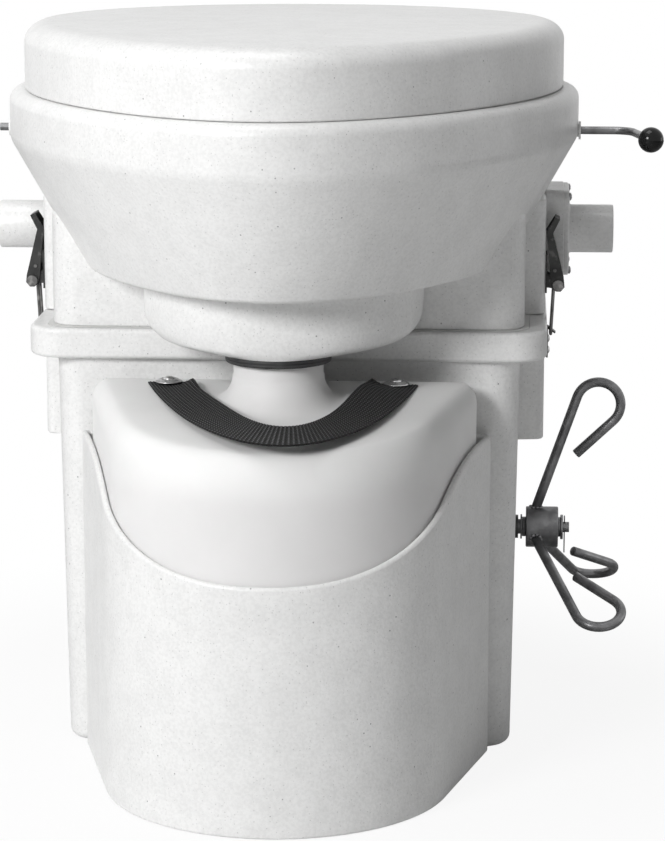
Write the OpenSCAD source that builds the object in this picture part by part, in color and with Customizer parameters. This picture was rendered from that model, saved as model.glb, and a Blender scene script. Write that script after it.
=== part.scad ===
// Composting toilet: solids bin with a stirrer, a tilting top with bowl, seat and lid,
// a liquid bottle standing in a front cradle, two draw latches, a vent fan and a trap door.
// Millimetres. +Z is up, the front faces -Y, x = 0 is the middle plane and the floor is z = 0.

/* [Top housing] */
// Half width of the rim band, the widest part of the moulding
band_half_w = 220; // [214:1:228]
// Reach of the rim band in front of the origin
band_front = 252; // [246:1:258]
// Reach of the rim band behind the origin
band_back = 256; // [252:1:262]
// Distance behind the origin at which the band is widest
widest_y = 56; // [50:1:62]
// Narrowing of the egg-shaped plan towards the front
egg_taper = 0.19; // [0.12:0.01:0.22]
// Roundness of the back half of the plan
back_power = 2; // [1.95:0.05:2.2]
// Height of the rim band, from its lower crease to the deck
band_h = 44; // [40:1:50]
// Height of the tapered part between the crease and the underside
flare_h = 88; // [84:1:92]
// Inward run of the taper for each millimetre of height
flare_slope = 0.61; // [0.56:0.01:0.64]
// Rounding along the top edge of the band
band_edge_r = 9; // [7:0.5:10]
// Wall of the mouldings
wall = 4.5; // [3.5:0.5:5.5]
// Thickness of the deck around the bowl
deck_t = 6; // [5:0.5:7]
// Width of deck between the band's face and the bowl opening
deck_w = 30; // [29:0.5:33]

/* [Neck and side pads] */
// Distance that the column's sides stand inside the rim band
neck_in = 40; // [36:1:44]
// Front wall of the column, ahead of the origin
neck_front = 46; // [44:1:49]
// Back wall of the column, behind the origin
neck_back = 205; // [200:1:207]
// Corner radius of the column
neck_r = 22; // [18:1:26]
// Height of the sloping shoulder above the column
shoulder_h = 40; // [30:1:44]
// Height from the joint between top and base to the underside of the taper
neck_h = 44; // [40:1:48]
// Thickness of the pads on both sides that carry latches and spigots
pad_t = 16; // [14:0.5:18]
// Front face of the side pads, behind the origin
pad_front = 28; // [24:1:30]
// Back face of the side pads
pad_back = 150; // [146:1:160]
// Height of the upper pads
pad_h = 86; // [82:1:90]
// Length of the pads on the base below its flange
base_pad_h = 76; // [60:1:90]
// Corner radius of the pads
pad_r = 7; // [5:0.5:9]

/* [Base bin] */
// Height of the base from floor to joint
base_h = 329; // [315:1:345]
// Height of the flange around the top of the bin
flange_h = 23; // [20:1:28]
// Overhang of the flange beyond the bin at the front and back
flange_over = 9; // [7:0.5:11]
// Overhang of the flange at the sides
flange_side = 17.5; // [17:0.5:19]
// Corner radius of the flange
flange_r = 27; // [24:1:30]
// Distance that the bin's sides stand inside the column's
bin_in = 3; // [1:0.5:6]
// Inward draft of the side and back walls over the height of the bin
draft = 4.5; // [3:0.5:8]
// Rounding around the foot of the bin
foot_r = 7; // [5:1:12]
// Thickness of the bin's wall and floor
bin_wall = 5; // [4:0.5:6]
// Width of the rubber seal in the flange
seal_w = 6; // [5:0.5:7]
// Depth of the groove for the seal
seal_d = 4; // [3:0.5:5]

/* [Cradle] */
// Radius of the cradle's round front
cradle_r = 130; // [126:1:133]
// Centre of that radius, ahead of the origin
cradle_y = 134; // [130:1:138]
// Half width of the cradle where its sides meet the bin
cradle_half_w = 158; // [155:1:161]
// Wall of the cradle
cradle_wall = 5; // [4:0.5:6]
// Height of the rim at the front of the scallop
rim_low = 184; // [170:1:200]
// Height of the rim at its two horns and behind the bottle
rim_high = 250; // [240:1:256]
// Height of the shelf that the bottle stands on
shelf_z = 60; // [40:1:80]
// How late the scallop rises towards the horns
scallop_power = 1.22; // [1:0.02:1.4]
// Corner radius at the cradle's back
cradle_corner = 7; // [6:0.5:9]

/* [Bottle] */
// Gap between bottle and cradle
bottle_gap = 2.5; // [2:0.5:4]
// Gap between the bottle and the base flange, so that it lifts straight up
lift_gap = 2; // [1.5:0.5:4]
// Height of the bottle's mouth above its top
bottle_neck_h = 23.7; // [22:0.1:30]
// Drop of the top for each millimetre towards the front
bottle_slope = 0.1; // [0.06:0.01:0.12]
// Corner radius at the bottle's back
bottle_corner = 14; // [8:1:18]
// Wall of the bottle
bottle_wall = 2.5; // [2:0.5:3]
// Centre of neck, gasket and outlet, ahead of the origin
outlet_y = 120; // [116:1:124]
// Outer radius of the bottle's mouth
mouth_r = 33; // [30:0.5:34]
// Width of the webbing handle
strap_w = 32; // [28:0.5:34]
// Thickness of the webbing
strap_t = 2; // [1.6:0.1:2.4]
// Half distance between the two screws of the handle
strap_half = 85; // [83:1:89]
// Sideways lean of the loop to the right
strap_lean = 12; // [0:1:16]

/* [Outlet] */
// Half width of the liquid sump under the overhang
sump_half_w = 105; // [102:1:108]
// Reach of the sump ahead of the neck
sump_l = 116; // [116:1:122]
// Depth of the sump
sump_h = 48; // [46:0.5:50]
// Outer radius of the rubber gasket
gasket_r = 39; // [37:0.5:40]
// Thickness of the gasket
gasket_t = 6; // [5:0.5:6.2]
// Outer radius of the drain tube from bowl to sump
drain_r = 13; // [11:0.5:14]

/* [Bowl and trap door] */
// Radius of the round lower part of the bowl, inside
bowl_r = 96; // [92:1:98]
// Wall of the bowl
bowl_wall = 4; // [3:0.5:4]
// Half angle of the opening at the bottom of the bowl
mouth_angle = 32; // [28:1:33]
// Depth of the liquid hollow in the front of the bowl
hollow_d = 50; // [44:1:56]
// Clearance between bowl and trap door
trap_gap = 0.6; // [0.4:0.1:1]
// Thickness of the trap door
trap_t = 4; // [3:0.5:4]
// Lap of the trap door beyond the opening, in degrees
trap_lap = 2.5; // [2:0.5:3]
// Distance of the trap door's axis behind the origin
trap_y = 38; // [36:1:40]
// Depth of the trap door's axis below the deck
trap_below = 33; // [31:1:34]
// Radius of the lever's rod
lever_r = 3; // [2.5:0.25:3.5]
// Length of rod outside the housing before its bend
lever_out = 33; // [24:1:38]
// Length from the bend to the knob
lever_l = 53; // [40:1:70]
// Radius of the ball knob
knob_r = 9.6; // [8:0.2:11]

/* [Seat and lid] */
// Step from the band's face in to the lid
lid_step = 12; // [11.5:0.5:13]
// Height of the lid
lid_h = 52; // [48:1:58]
// Wall of the lid
lid_wall = 5; // [4:0.5:6]
// Rounding of the lid's top edge
lid_edge_r = 15; // [12:1:18]
// Thickness of the seat
seat_t = 18; // [14:1:22]
// Gap around the seat inside the lid
seat_gap = 4; // [3:0.5:6]
// Half width of the hole in the seat
seat_hole_w = 108; // [100:1:116]
// Height of the rubber bumpers under the seat
bumper_h = 3; // [2:0.5:4]
// Radius of the hinge knuckles
knuckle_r = 6; // [5:0.25:6.5]
// Distance of the seat hinge's axis behind the band
hinge_out = 6; // [5.5:0.5:8]
// Half distance between the two seat hinges
hinge_half = 62; // [56:1:68]

/* [Latches] */
// Distance of the latches behind the origin
latch_y = 45; // [43:0.5:46]
// Width of the latch lever
latch_w = 20; // [18:0.5:21]
// Sheet metal thickness
sheet = 1.3; // [1:0.1:1.6]
// Radius of the bail wire
bail_r = 1.3; // [1.1:0.1:1.5]
// Height of the lever's rivet above the joint between top and base
latch_pivot_h = 22.5; // [21:0.5:25]
// Distance of the lever's rivet from the pad
latch_pivot_out = 10; // [9.5:0.5:11]
// Radius of the rivets
rivet_r = 2; // [1.5:0.25:2.25]

/* [Stirrer] */
// Height of the stirrer's axis
stir_z = 143.5; // [140:0.5:148]
// Distance of the stirrer's axis behind the origin
stir_y = 96; // [92:1:98]
// Radius of the shaft
shaft_r = 6; // [5.5:0.25:6.5]
// Radius of the shaft's turned-down end
stub_r = 4.2; // [3.5:0.1:4.5]
// Reach of the stirring tines
tine_l = 96; // [80:1:97]
// Radius of the crank's hub
hub_r = 16.5; // [15:0.5:18]
// Length of the crank's hub
hub_l = 26; // [22:1:30]
// Radius of the crank's bent rods
rod_r = 3.9; // [3.4:0.1:4.2]
// Reach of the crank from its axis to the middle of the loop
loop_reach = 101; // [96:1:104]
// Radius of the loops, at the middle of the rod
loop_r = 18; // [16:0.5:20]
// Distance from the hub's inner face to the middle of the loops
loop_out = 57; // [52:1:60]
// Distance from the hub's inner face to the foot of the rods
rod_foot = 8; // [7:0.5:13]
// Turn of the first rod towards the front, in degrees
crank_turn = -3; // [-6:1:20]

/* [Vent] */
// Distance of the spigots behind the origin
vent_y = 95; // [94:0.5:96]
// Outer radius of the hose spigots
spigot_r = 19; // [18.5:0.25:19.5]
// Wall of the spigots
spigot_wall = 2.5; // [2:0.25:3]
// Length of the free end of the fan's spigot
spigot_l = 35; // [30:1:45]
// Length of the left spigot beyond the pad
left_spigot_l = 44; // [38:1:50]
// Width of the fan housing, front to back
fan_w = 70; // [68:0.5:72]
// Height of the fan housing
fan_h = 68; // [67:0.5:70]
// Depth of the fan housing
fan_d = 18.5; // [18:0.5:20]
// Side of the fan's square frame
fan_side = 60; // [58:0.5:61]

/* [Fits] */
// Face clearance between pieces that move past each other
clear = 0.3; // [0.2:0.05:0.4]
// Radial clearance of pins and shafts in their bores
run_clear = 0.05; // [0.03:0.01:0.08]

/* [Hidden] */
$fn = 48;
AROUND = 72;
BOWL_AROUND = 48;
FRONT_STEPS = 24;
CORNER_STEPS = 7;
EPS = 0.01;
neck_half_w = band_half_w - neck_in;
bin_half_w = neck_half_w - bin_in;
under_z = base_h + neck_h;
crease_z = under_z + flare_h;
deck_z = crease_z + band_h;
flange_z = base_h - flange_h;
pad_face = neck_half_w + pad_t;
flange_half_w = neck_half_w + flange_side;
trap_z = deck_z - trap_below;
// the fan's upper edge lies where the taper crosses the pads' face
vent_z = round(crease_z - (band_half_w - pad_face) / flare_slope - fan_h / 2);
hinge_y = band_back + hinge_out;
hinge_z = deck_z + knuckle_r + 1;
lid_bottom = deck_z + clear;
lid_top = deck_z + lid_h;
bowl_flange_t = 3;
bowl_flange_in = deck_w - 7;
seat_z = deck_z + bowl_flange_t + bumper_h + clear;
cradle_back = neck_front + clear;
bottle_front_in = cradle_wall + bottle_gap;
bottle_back = neck_front + flange_over + lift_gap;
latch_x = pad_face + latch_pivot_out;
latch_z = base_h + latch_pivot_h;
rear_hinge_y = neck_back + flange_over + 18;
rear_hinge_z = base_h + 1;
rear_hinge_x = 95;

// ---- outlines and lofts ----

function signed_pow(v, p) = (v < 0 ? -1 : 1) * pow(abs(v), p);

// plan of the band, set in by a distance
function egg_ring(inset, z, count = AROUND) = [
    for (i = [0:count - 1])
    let (a = 360 * i / count)
    let (p = sin(a) < 0 ? 1 : 2 / back_power)
    let (narrow = sin(a) < 0 ? 1 - egg_taper * pow(sin(a), 2) : 1)
    let (reach = (sin(a) < 0 ? band_front + widest_y : band_back - widest_y) - inset)
    [(band_half_w - inset) * narrow * signed_pow(cos(a), p),
        widest_y + reach * signed_pow(sin(a), p), z]
];

function circle_ring(r, y, z, count) = [
    for (i = [0:count - 1])
    [r * cos(360 * i / count), y + r * sin(360 * i / count), z]
];

// rectangle with round corners, each corner with its own arc
function rect_ring(half_w, front, back, r, z) = [
    for (corner = [0:3], step = [0:CORNER_STEPS])
    let (a = 90 * corner + 90 * step / CORNER_STEPS)
    let (cx = (corner == 0 || corner == 3 ? 1 : -1) * (half_w - r))
    let (cy = corner < 2 ? back - r : -front + r)
    [cx + r * cos(a), cy + r * sin(a), z]
];

// Plan of the cradle: a round front, straight sides tangent to it, round corners and a flat
// back. The ring keeps its number of points for every inset.
cradle_lean = atan2(cradle_y - neck_front, cradle_half_w)
    - acos(cradle_r / norm([cradle_half_w, cradle_y - neck_front]));
function corner_at(inset, back, r) =
    let (y = cradle_y - back - r)
    [(cradle_r - inset - r - y * sin(cradle_lean)) / cos(cradle_lean), y - cradle_y];
function arc(c, r, a0, a1, n) = [
    for (i = [0:n - 1]) let (a = a0 + (a1 - a0) * i / (n - 1)) c + r * [cos(a), sin(a)]
];
function between(p, q, n) = [for (i = [1:n]) p + (q - p) * i / (n + 1)];
// points of the flat back at even angles about the outlet, from right to left
function back_points(p, n) =
    let (d = p[1] + outlet_y, a0 = atan2(d, p[0]))
    [for (i = [1:n]) [d / tan(a0 + (180 - 2 * a0) * i / (n + 1)), p[1]]];
function flip(list) = [for (i = [len(list) - 1:-1:0]) [-list[i][0], list[i][1]]];
function cradle_plan(inset, back, r, back_n, side_n) =
    let (c = corner_at(inset, back, r))
    let (right = arc(c, r, cradle_lean, 90, 6))
    let (front = arc([0, -cradle_y], cradle_r - inset, cradle_lean + 180 - 2 * cradle_lean,
        360 + cradle_lean, FRONT_STEPS))
    let (side = between(front[FRONT_STEPS - 1], right[0], side_n))
    concat(right, back_points(right[5], back_n), flip(right), flip(side), front, side);
function lift(plan, z) = [for (p = plan) [p[0], p[1], z]];

// middle of a ring
function middle(ring) = [for (p = ring) 1] * ring / len(ring);

// A solid through rings of equally many points. Each end is closed by a fan about its middle,
// or the last ring is joined to the first one.
module loft(rings, closed = false) {
    n = len(rings[0]);
    m = len(rings);
    points = concat([for (ring = rings) each ring], [middle(rings[0]), middle(rings[m - 1])]);
    sides = [
        for (k = [0:m - (closed ? 1 : 2)], i = [0:n - 1])
        let (j = (i + 1) % n, u = (k + 1) % m)
        each [[k * n + i, u * n + i, u * n + j], [k * n + i, u * n + j, k * n + j]]
    ];
    caps = closed ? [] : [
        for (i = [0:n - 1])
        let (j = (i + 1) % n, last = (m - 1) * n)
        each [[i, j, m * n], [last + j, last + i, m * n + 1]]
    ];
    polyhedron(closed ? [for (ring = rings) each ring] : points, concat(sides, caps), convexity = 8);
}

// ---- small helpers ----

module both_sides() {
    children();
    mirror([1, 0, 0]) children();
}

// a cylinder along +X from x0
module rod_x(r, x0, x1, y, z) {
    translate([x0, y, z]) rotate([0, 90, 0]) cylinder(r = r, h = x1 - x0);
}

module rounded_rect(w, d, r) {
    union() {
        square([w - 2 * r, d], center = true);
        square([w, d - 2 * r], center = true);
        for (x = [-1, 1], y = [-1, 1]) {
            translate([x * (w / 2 - r), y * (d / 2 - r)]) circle(r = r);
        }
    }
}

// upright column with round corners
module column(half_w, front, back, r, z0, z1) {
    translate([0, (back - front) / 2, z0])
        linear_extrude(height = z1 - z0)
        rounded_rect(2 * half_w, front + back, r);
}

// pad on the right side whose two outer corners are round
module side_pad(x0, x1, z0, z1) {
    translate([0, 0, z0]) linear_extrude(height = z1 - z0) union() {
        translate([x0, pad_front]) square([x1 - x0 - pad_r, pad_back - pad_front]);
        translate([x0, pad_front + pad_r]) square([x1 - x0, pad_back - pad_front - 2 * pad_r]);
        for (y = [pad_front + pad_r, pad_back - pad_r]) translate([x1 - pad_r, y]) circle(r = pad_r);
    }
}

// pan-head screw whose shank runs along -Z from the seat of its head at the origin
module screw(head_r, head_h, shank_r, shank_l) {
    difference() {
        union() {
            intersection() {
                cylinder(r = head_r, h = head_h);
                translate([0, 0, head_h - head_r * 1.6]) sphere(r = head_r * 1.6);
            }
            translate([0, 0, -shank_l]) cylinder(r = shank_r, h = shank_l + EPS);
        }
        for (turn = [0, 90]) rotate([0, 0, turn])
            translate([0, 0, head_h]) cube([head_r * 1.1, head_r * 0.22, head_h], center = true);
    }
}

// ---- base ----

rim_in = neck_half_w - bin_wall;
seal_out = bin_wall + seal_w + 3;
shaft_hole_r = shaft_r + 2;

function bin_ring(inset, z) =
    let (lean = draft * (1 - z / flange_z))
    rect_ring(bin_half_w - lean - inset, neck_front - inset, neck_back - lean - inset,
        neck_r - inset * 0.8, z);
function flange_ring(inset, z) = rect_ring(neck_half_w + flange_side - inset,
    neck_front + flange_over - inset, neck_back + flange_over - inset, flange_r - inset * 0.8, z);
function seal_ring(out, z) = rect_ring(neck_half_w - bin_wall + out, neck_front - bin_wall + out,
    neck_back - bin_wall + out, neck_r, z);

module base_bin() color("whitesmoke") difference() {
    union() {
        loft([
            bin_ring(foot_r, 0),
            bin_ring(foot_r * 0.3, foot_r * 0.3),
            bin_ring(0, foot_r),
            bin_ring(0, flange_z),
            flange_ring(3, flange_z + EPS),
            flange_ring(0, flange_z + 3),
            flange_ring(0, base_h - 3),
            flange_ring(3, base_h),
            seal_ring(seal_w + 3, base_h),
            seal_ring(seal_w + 3, base_h - seal_d),
            seal_ring(3, base_h - seal_d),
            seal_ring(3, base_h),
            seal_ring(0, base_h),
            bin_ring(bin_wall, flange_z),
            bin_ring(bin_wall, bin_wall)
        ]);
        both_sides() side_pad(bin_half_w - bin_wall, pad_face, flange_z - base_pad_h, flange_z + 1);
    }
    both_sides() rod_x(shaft_hole_r, bin_half_w - draft - bin_wall - 2, bin_half_w + 2,
        stir_y, stir_z);
}

module base_seal() color("dimgray") difference() {
    translate([0, 0, base_h - seal_d]) seal_column(seal_w + 2.8, seal_d + clear);
    translate([0, 0, base_h - seal_d - 1]) seal_column(3.2, seal_d + 2);
}

module seal_column(out, h) {
    column(neck_half_w - bin_wall + out, neck_front - bin_wall + out, neck_back - bin_wall + out,
        neck_r, 0, h);
}

// rim height over the plan, rising from the front to the two horns
horn_angle = 118;
function rim_z(p) =
    let (share = min(1, atan2(abs(p[0]), -p[1] - cradle_y) / horn_angle))
    rim_low + (rim_high - rim_low) * (1 - cos(180 * pow(share, scallop_power))) / 2;
function cradle_ring(inset, back_in, z) =
    lift(cradle_plan(inset, cradle_back + back_in, cradle_corner - inset, 1, 3), z);
function rim_ring(inset, drop) = [
    for (p = cradle_plan(inset, cradle_back + inset, cradle_corner - inset, 1, 3))
    [p[0], p[1], rim_z(p) - drop]
];

module bottle_cradle() color("whitesmoke") difference() {
    loft([
        cradle_ring(cradle_wall, cradle_wall, shelf_z - cradle_wall),
        cradle_ring(cradle_wall, cradle_wall, 0),
        cradle_ring(1.5, 0, 0),
        cradle_ring(0, 0, 3),
        rim_ring(0, 1.5),
        rim_ring(cradle_wall * 0.3, 0),
        rim_ring(cradle_wall * 0.7, 0),
        rim_ring(cradle_wall, 1.5),
        cradle_ring(cradle_wall, cradle_wall, shelf_z)
    ]);
    cradle_screw_places() cylinder(r = 2.1, h = 20, center = true);
}

// four screws through the cradle's back wall into the bin
module cradle_screw_places() {
    for (x = [-110, 110], z = [rim_high - 30, shelf_z + 40]) {
        translate([x, -cradle_back - cradle_wall, z]) rotate([90, 0, 0]) children();
    }
}

module cradle_screws() color("silver") cradle_screw_places() screw(4, 2, 2, cradle_wall);

// ---- stirrer and its crank ----

bin_side = bin_half_w - draft * (1 - stir_z / flange_z);
bushing_flange_t = 3;
hub_x = bin_side + bushing_flange_t + 6.2;

module shaft_bushings() color("black") both_sides() difference() {
    union() {
        rod_x(shaft_hole_r - run_clear, bin_side - bin_wall, bin_side + 1, stir_y, stir_z);
        rod_x(shaft_hole_r + 1.5, bin_side + 0.3, bin_side + bushing_flange_t, stir_y, stir_z);
    }
    rod_x(shaft_r + run_clear, bin_side - bin_wall - 1, bin_side + 5, stir_y, stir_z);
}

shaft_end = hub_x + hub_l + 9;
washer_r = 10;
module stirrer_shaft() color("dimgray") difference() {
    union() {
        rod_x(shaft_r, -bin_side - 9, hub_x + hub_l, stir_y, stir_z);
        rod_x(stub_r, hub_x + hub_l - 1, shaft_end, stir_y, stir_z);
    }
    translate([shaft_end - 3.8, stir_y, stir_z]) cylinder(r = 1.1, h = 3 * shaft_r, center = true);
}

tine_count = 6;
module stirrer_tines() color("dimgray") difference() {
    for (i = [0:tine_count - 1]) {
        translate([(i - (tine_count - 1) / 2) * 54, stir_y, stir_z]) rotate([i * 120 + 40, 0, 0]) union() {
            cylinder(r = 4.5, h = tine_l - 6);
            translate([-16, -2, tine_l - 26]) cube([32, 4, 26]);
        }
    }
    rod_x(shaft_r + EPS, -bin_side, bin_side, stir_y, stir_z);
}

module crank_hub() color("dimgray") difference() {
    rod_x(hub_r, hub_x, hub_x + hub_l, stir_y, stir_z);
    rod_x(shaft_r + run_clear, hub_x - 1, hub_x + hub_l + 1, stir_y, stir_z);
}

module crank_washers() color("gray") difference() {
    union() {
        rod_x(washer_r - 2, hub_x - 3, hub_x - EPS, stir_y, stir_z);
        rod_x(washer_r, hub_x - 4.4, hub_x - 3.1, stir_y, stir_z);
        rod_x(washer_r - 2, hub_x + hub_l + EPS, hub_x + hub_l + 1.8, stir_y, stir_z);
        rod_x(washer_r, hub_x + hub_l + 1.9, hub_x + hub_l + 4, stir_y, stir_z);
    }
    rod_x(shaft_r + run_clear, hub_x - 6, hub_x + 1, stir_y, stir_z);
    rod_x(stub_r + run_clear, hub_x + hub_l - 1, shaft_end, stir_y, stir_z);
}

// split pin through the shaft's end, with its eye above and long legs below
module crank_cotter() color("gray") translate([shaft_end - 3.8, stir_y, stir_z]) union() {
    translate([0, 0, -21]) cylinder(r = 0.9, h = 21 + stub_r + 2);
    translate([0, 0, stub_r + 3]) rotate([0, 90, 0])
        rotate_extrude() translate([1.9, 0]) circle(r = 0.8, $fn = 24);
}

// collar with a set screw inside the left wall keeps the shaft in place
module shaft_collar() color("silver") difference() {
    rod_x(shaft_r + 6, -bin_side + bin_wall + 0.4, -bin_side + bin_wall + 10, stir_y, stir_z);
    rod_x(shaft_r + EPS, -bin_side, 0, stir_y, stir_z);
}

// One bent rod in the plane of its own x (outward) and z (away from the axis): a straight
// leg, a loop over the top and a second leg that comes back to a free end.
loop_c = [loop_out, loop_reach];
leg_foot = [rod_foot, hub_r - 1];
free_end = [39.5, 60];
leg_run = loop_c - leg_foot;
leg_angle = atan2(leg_run[1], leg_run[0]) + asin(loop_r / norm(leg_run));
leg_len = sqrt(pow(norm(leg_run), 2) - pow(loop_r, 2));
back_run = loop_c - free_end;
back_angle = atan2(back_run[1], back_run[0]) - asin(loop_r / norm(back_run));
back_len = sqrt(pow(norm(back_run), 2) - pow(loop_r, 2));
// straight legs run a little into the bend, which is a hair thinner
JOIN = 0.5;
SLIM = 0.03;
module straight(from, angle, length) {
    translate([from[0], 0, from[1]]) rotate([0, 90 - angle, 0])
        cylinder(r = rod_r, h = length + JOIN);
}
module bent_rod() {
    union() {
        straight(leg_foot, leg_angle, leg_len);
        translate([loop_c[0], 0, loop_c[1]]) rotate([90, 0, 0]) rotate([0, 0, back_angle - 90])
            rotate_extrude(angle = leg_angle - back_angle + 180)
            translate([loop_r, 0]) circle(r = rod_r - SLIM);
        straight(free_end, back_angle, back_len);
    }
}
module crank_arms() color("dimgray") difference() {
    for (i = [0:2]) {
        translate([hub_x, stir_y, stir_z]) rotate([crank_turn + 120 * i, 0, 0]) bent_rod();
    }
    rod_x(hub_r + EPS, hub_x - 20, hub_x + hub_l + 20, stir_y, stir_z);
}

// ---- rear hinge between base and top ----

rear_knuckle_r = 9;
rear_pin_r = 4;
module rear_blocks(x0, x1) {
    difference() {
        union() {
            rod_x(rear_knuckle_r, x0, x1, rear_hinge_y, rear_hinge_z);
            children();
        }
        rod_x(rear_pin_r + run_clear, x0 - 1, x1 + 1, rear_hinge_y, rear_hinge_z);
    }
}
module rear_hinge_base() color("whitesmoke") both_sides() {
    for (x = [rear_hinge_x - 26, rear_hinge_x + 10 + clear]) rear_blocks(x, x + 16 - clear) {
        translate([x, neck_back + flange_over + EPS, rear_hinge_z - 19])
            cube([16 - clear, 18, 18]);
    }
}
module rear_hinge_top() color("whitesmoke") both_sides() {
    rear_blocks(rear_hinge_x - 10 + clear, rear_hinge_x + 10) {
        translate([rear_hinge_x - 10 + clear, neck_back + EPS, rear_hinge_z + 3])
            cube([20 - clear, rear_hinge_y - neck_back, 5]);
        translate([rear_hinge_x - 10 + clear, neck_back + EPS, rear_hinge_z + 3])
            cube([20 - clear, 9, 26]);
    }
}
module rear_hinge_pins() color("silver") both_sides() union() {
    rod_x(rear_pin_r, rear_hinge_x - 28, rear_hinge_x + 28, rear_hinge_y, rear_hinge_z);
    rod_x(rear_pin_r + 2.5, rear_hinge_x - 29, rear_hinge_x - 26 - EPS, rear_hinge_y, rear_hinge_z);
}

// ---- top housing ----

function flare_inset(z) = flare_slope * (crease_z - z);
skin = wall + 0.6;
shoulder_z = crease_z - 6 - shoulder_h;
drill = 60;
// column below the taper with a sloping shoulder, set in by a distance
function neck_ring(inset, z) = rect_ring(neck_half_w - inset, neck_front - min(inset, wall),
    neck_back - inset, neck_r - min(inset, wall), z);

module top_housing() color("whitesmoke") difference() {
    union() {
        loft([
            egg_ring(flare_inset(under_z) + 4, under_z),
            egg_ring(flare_inset(under_z + 3.5), under_z + 3.5),
            egg_ring(flare_inset(crease_z - 5), crease_z - 5),
            egg_ring(0.8, crease_z),
            egg_ring(0, crease_z + 4),
            egg_ring(0, deck_z - band_edge_r),
            egg_ring(band_edge_r * 0.3, deck_z - band_edge_r * 0.3),
            egg_ring(band_edge_r, deck_z)
        ]);
        loft([
            neck_ring(0, base_h + clear),
            neck_ring(0, shoulder_z),
            neck_ring(shoulder_h, shoulder_z + shoulder_h)
        ]);
        both_sides() side_pad(neck_half_w - wall / 2, pad_face, base_h + 1.5, base_h + pad_h);
    }
    loft([
        egg_ring(flare_inset(under_z + wall) + skin, under_z + wall),
        egg_ring(skin, crease_z),
        egg_ring(wall, crease_z + 4),
        egg_ring(wall, deck_z - deck_t)
    ]);
    loft([
        neck_ring(wall, base_h - 1),
        neck_ring(wall, shoulder_z - wall * 0.4),
        neck_ring(shoulder_h, shoulder_z + shoulder_h - wall * 1.4)
    ]);
    translate([0, 0, deck_z - deck_t - 1]) linear_extrude(height = deck_t + 2)
        polygon([for (p = egg_ring(deck_w, 0, BOWL_AROUND)) [p[0], p[1]]]);
    translate([0, -outlet_y, under_z - 1]) cylinder(r = drain_r + clear, h = wall + 2);
    both_sides() rod_x(lever_r + 2 + run_clear, band_half_w - drill, band_half_w + 2, trap_y, trap_z);
    rod_x(fan_side / 2 - 2, neck_half_w - drill, pad_face + 1, vent_y, vent_z);
    mirror([1, 0, 0])
        rod_x(spigot_r - 0.8 + run_clear, neck_half_w - drill, pad_face + 1, vent_y, vent_z);
}

// ---- outlet ----

sump_z = under_z - sump_h;
sump_back = neck_front + clear;
SUMP_BACK = 20;
hole_r = (mouth_r - 6) / cos(180 / BOWL_AROUND);
function sump_ring(inset, z) = [
    for (i = [0:BOWL_AROUND - 1])
    let (a = 360 * i / BOWL_AROUND)
    let (s = sin(a))
    [(sump_half_w - inset) * signed_pow(cos(a), s < 0 ? 1 : 0.25),
        s < 0 ? -sump_back - SUMP_BACK + (sump_l - SUMP_BACK - inset) * s
            : -sump_back - SUMP_BACK + (SUMP_BACK - inset) * signed_pow(s, 0.25), z]
];
// a row between the flat seat of the gasket (0) and the full plan of the sump (1)
function sump_row(full, inset, h) =
    (1 - full) * circle_ring(gasket_r + 1, -outlet_y, sump_z + h, BOWL_AROUND)
    + full * sump_ring(inset, sump_z + h);

module liquid_sump() color("whitesmoke") loft([
    circle_ring(hole_r, -outlet_y, sump_z, BOWL_AROUND),
    sump_row(0, 0, 0),
    sump_row(0.22, 0, 1.2),
    sump_row(0.7, 0, 4.5),
    sump_row(0.88, 0, 10),
    sump_row(0.965, 0, 18),
    sump_row(0.99, 0, 29),
    sump_ring(0, under_z - EPS),
    sump_ring(wall, under_z - EPS),
    sump_row(0.99, wall, 30),
    sump_row(0.965, wall, 20.5),
    sump_row(0.88, wall, 14),
    sump_row(0.7, wall, 9),
    sump_row(0.22, wall, wall + 1.2),
    circle_ring(hole_r, -outlet_y, sump_z + wall, BOWL_AROUND)
], closed = true);

module outlet_gasket() color("black") translate([0, -outlet_y, sump_z - gasket_t]) difference() {
    union() {
        cylinder(r = gasket_r, h = gasket_t - EPS);
        cylinder(r = mouth_r - 6 - run_clear, h = gasket_t + wall);
    }
    translate([0, 0, -1]) cylinder(r = mouth_r - 11, h = gasket_t + wall + 2);
}

// ---- bowl and trap door ----

BOWL_STEPS = [0, 0.14, 0.28, 0.4, 0.5, 0.6, 0.72, 0.86, 1];
lip_angle = 14;
BALL_ANGLES = [0, -16, -32, -46, mouth_angle - 90];
hollow_y = -outlet_y;
function bowl_point(i, s, r, drop) =
    let (rim = egg_ring(deck_w + 3, 0, BOWL_AROUND)[i], a = 360 * i / BOWL_AROUND)
    let (lip = [r * cos(lip_angle) * cos(a), trap_y + r * cos(lip_angle) * sin(a)])
    let (x = rim[0] * (1 - s) + lip[0] * s, y = rim[1] * (1 - s) + lip[1] * s)
    let (dip = 4 * s * (1 - s) * 1.35 * exp(-pow(x / 62, 2) - pow((y - hollow_y) / 42, 2)))
    let (lip_z = trap_z + r * sin(lip_angle), top = deck_z + bowl_flange_t)
    [x, y, top - (top - lip_z) * pow(s, 0.8) - hollow_d * min(1, dip) - drop];
function bowl_row(s, r, drop) = [for (i = [0:BOWL_AROUND - 1]) bowl_point(i, s, r, drop)];
function ball_row(r, angle) =
    circle_ring(r * cos(angle), trap_y, trap_z + r * sin(angle), BOWL_AROUND);

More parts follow.
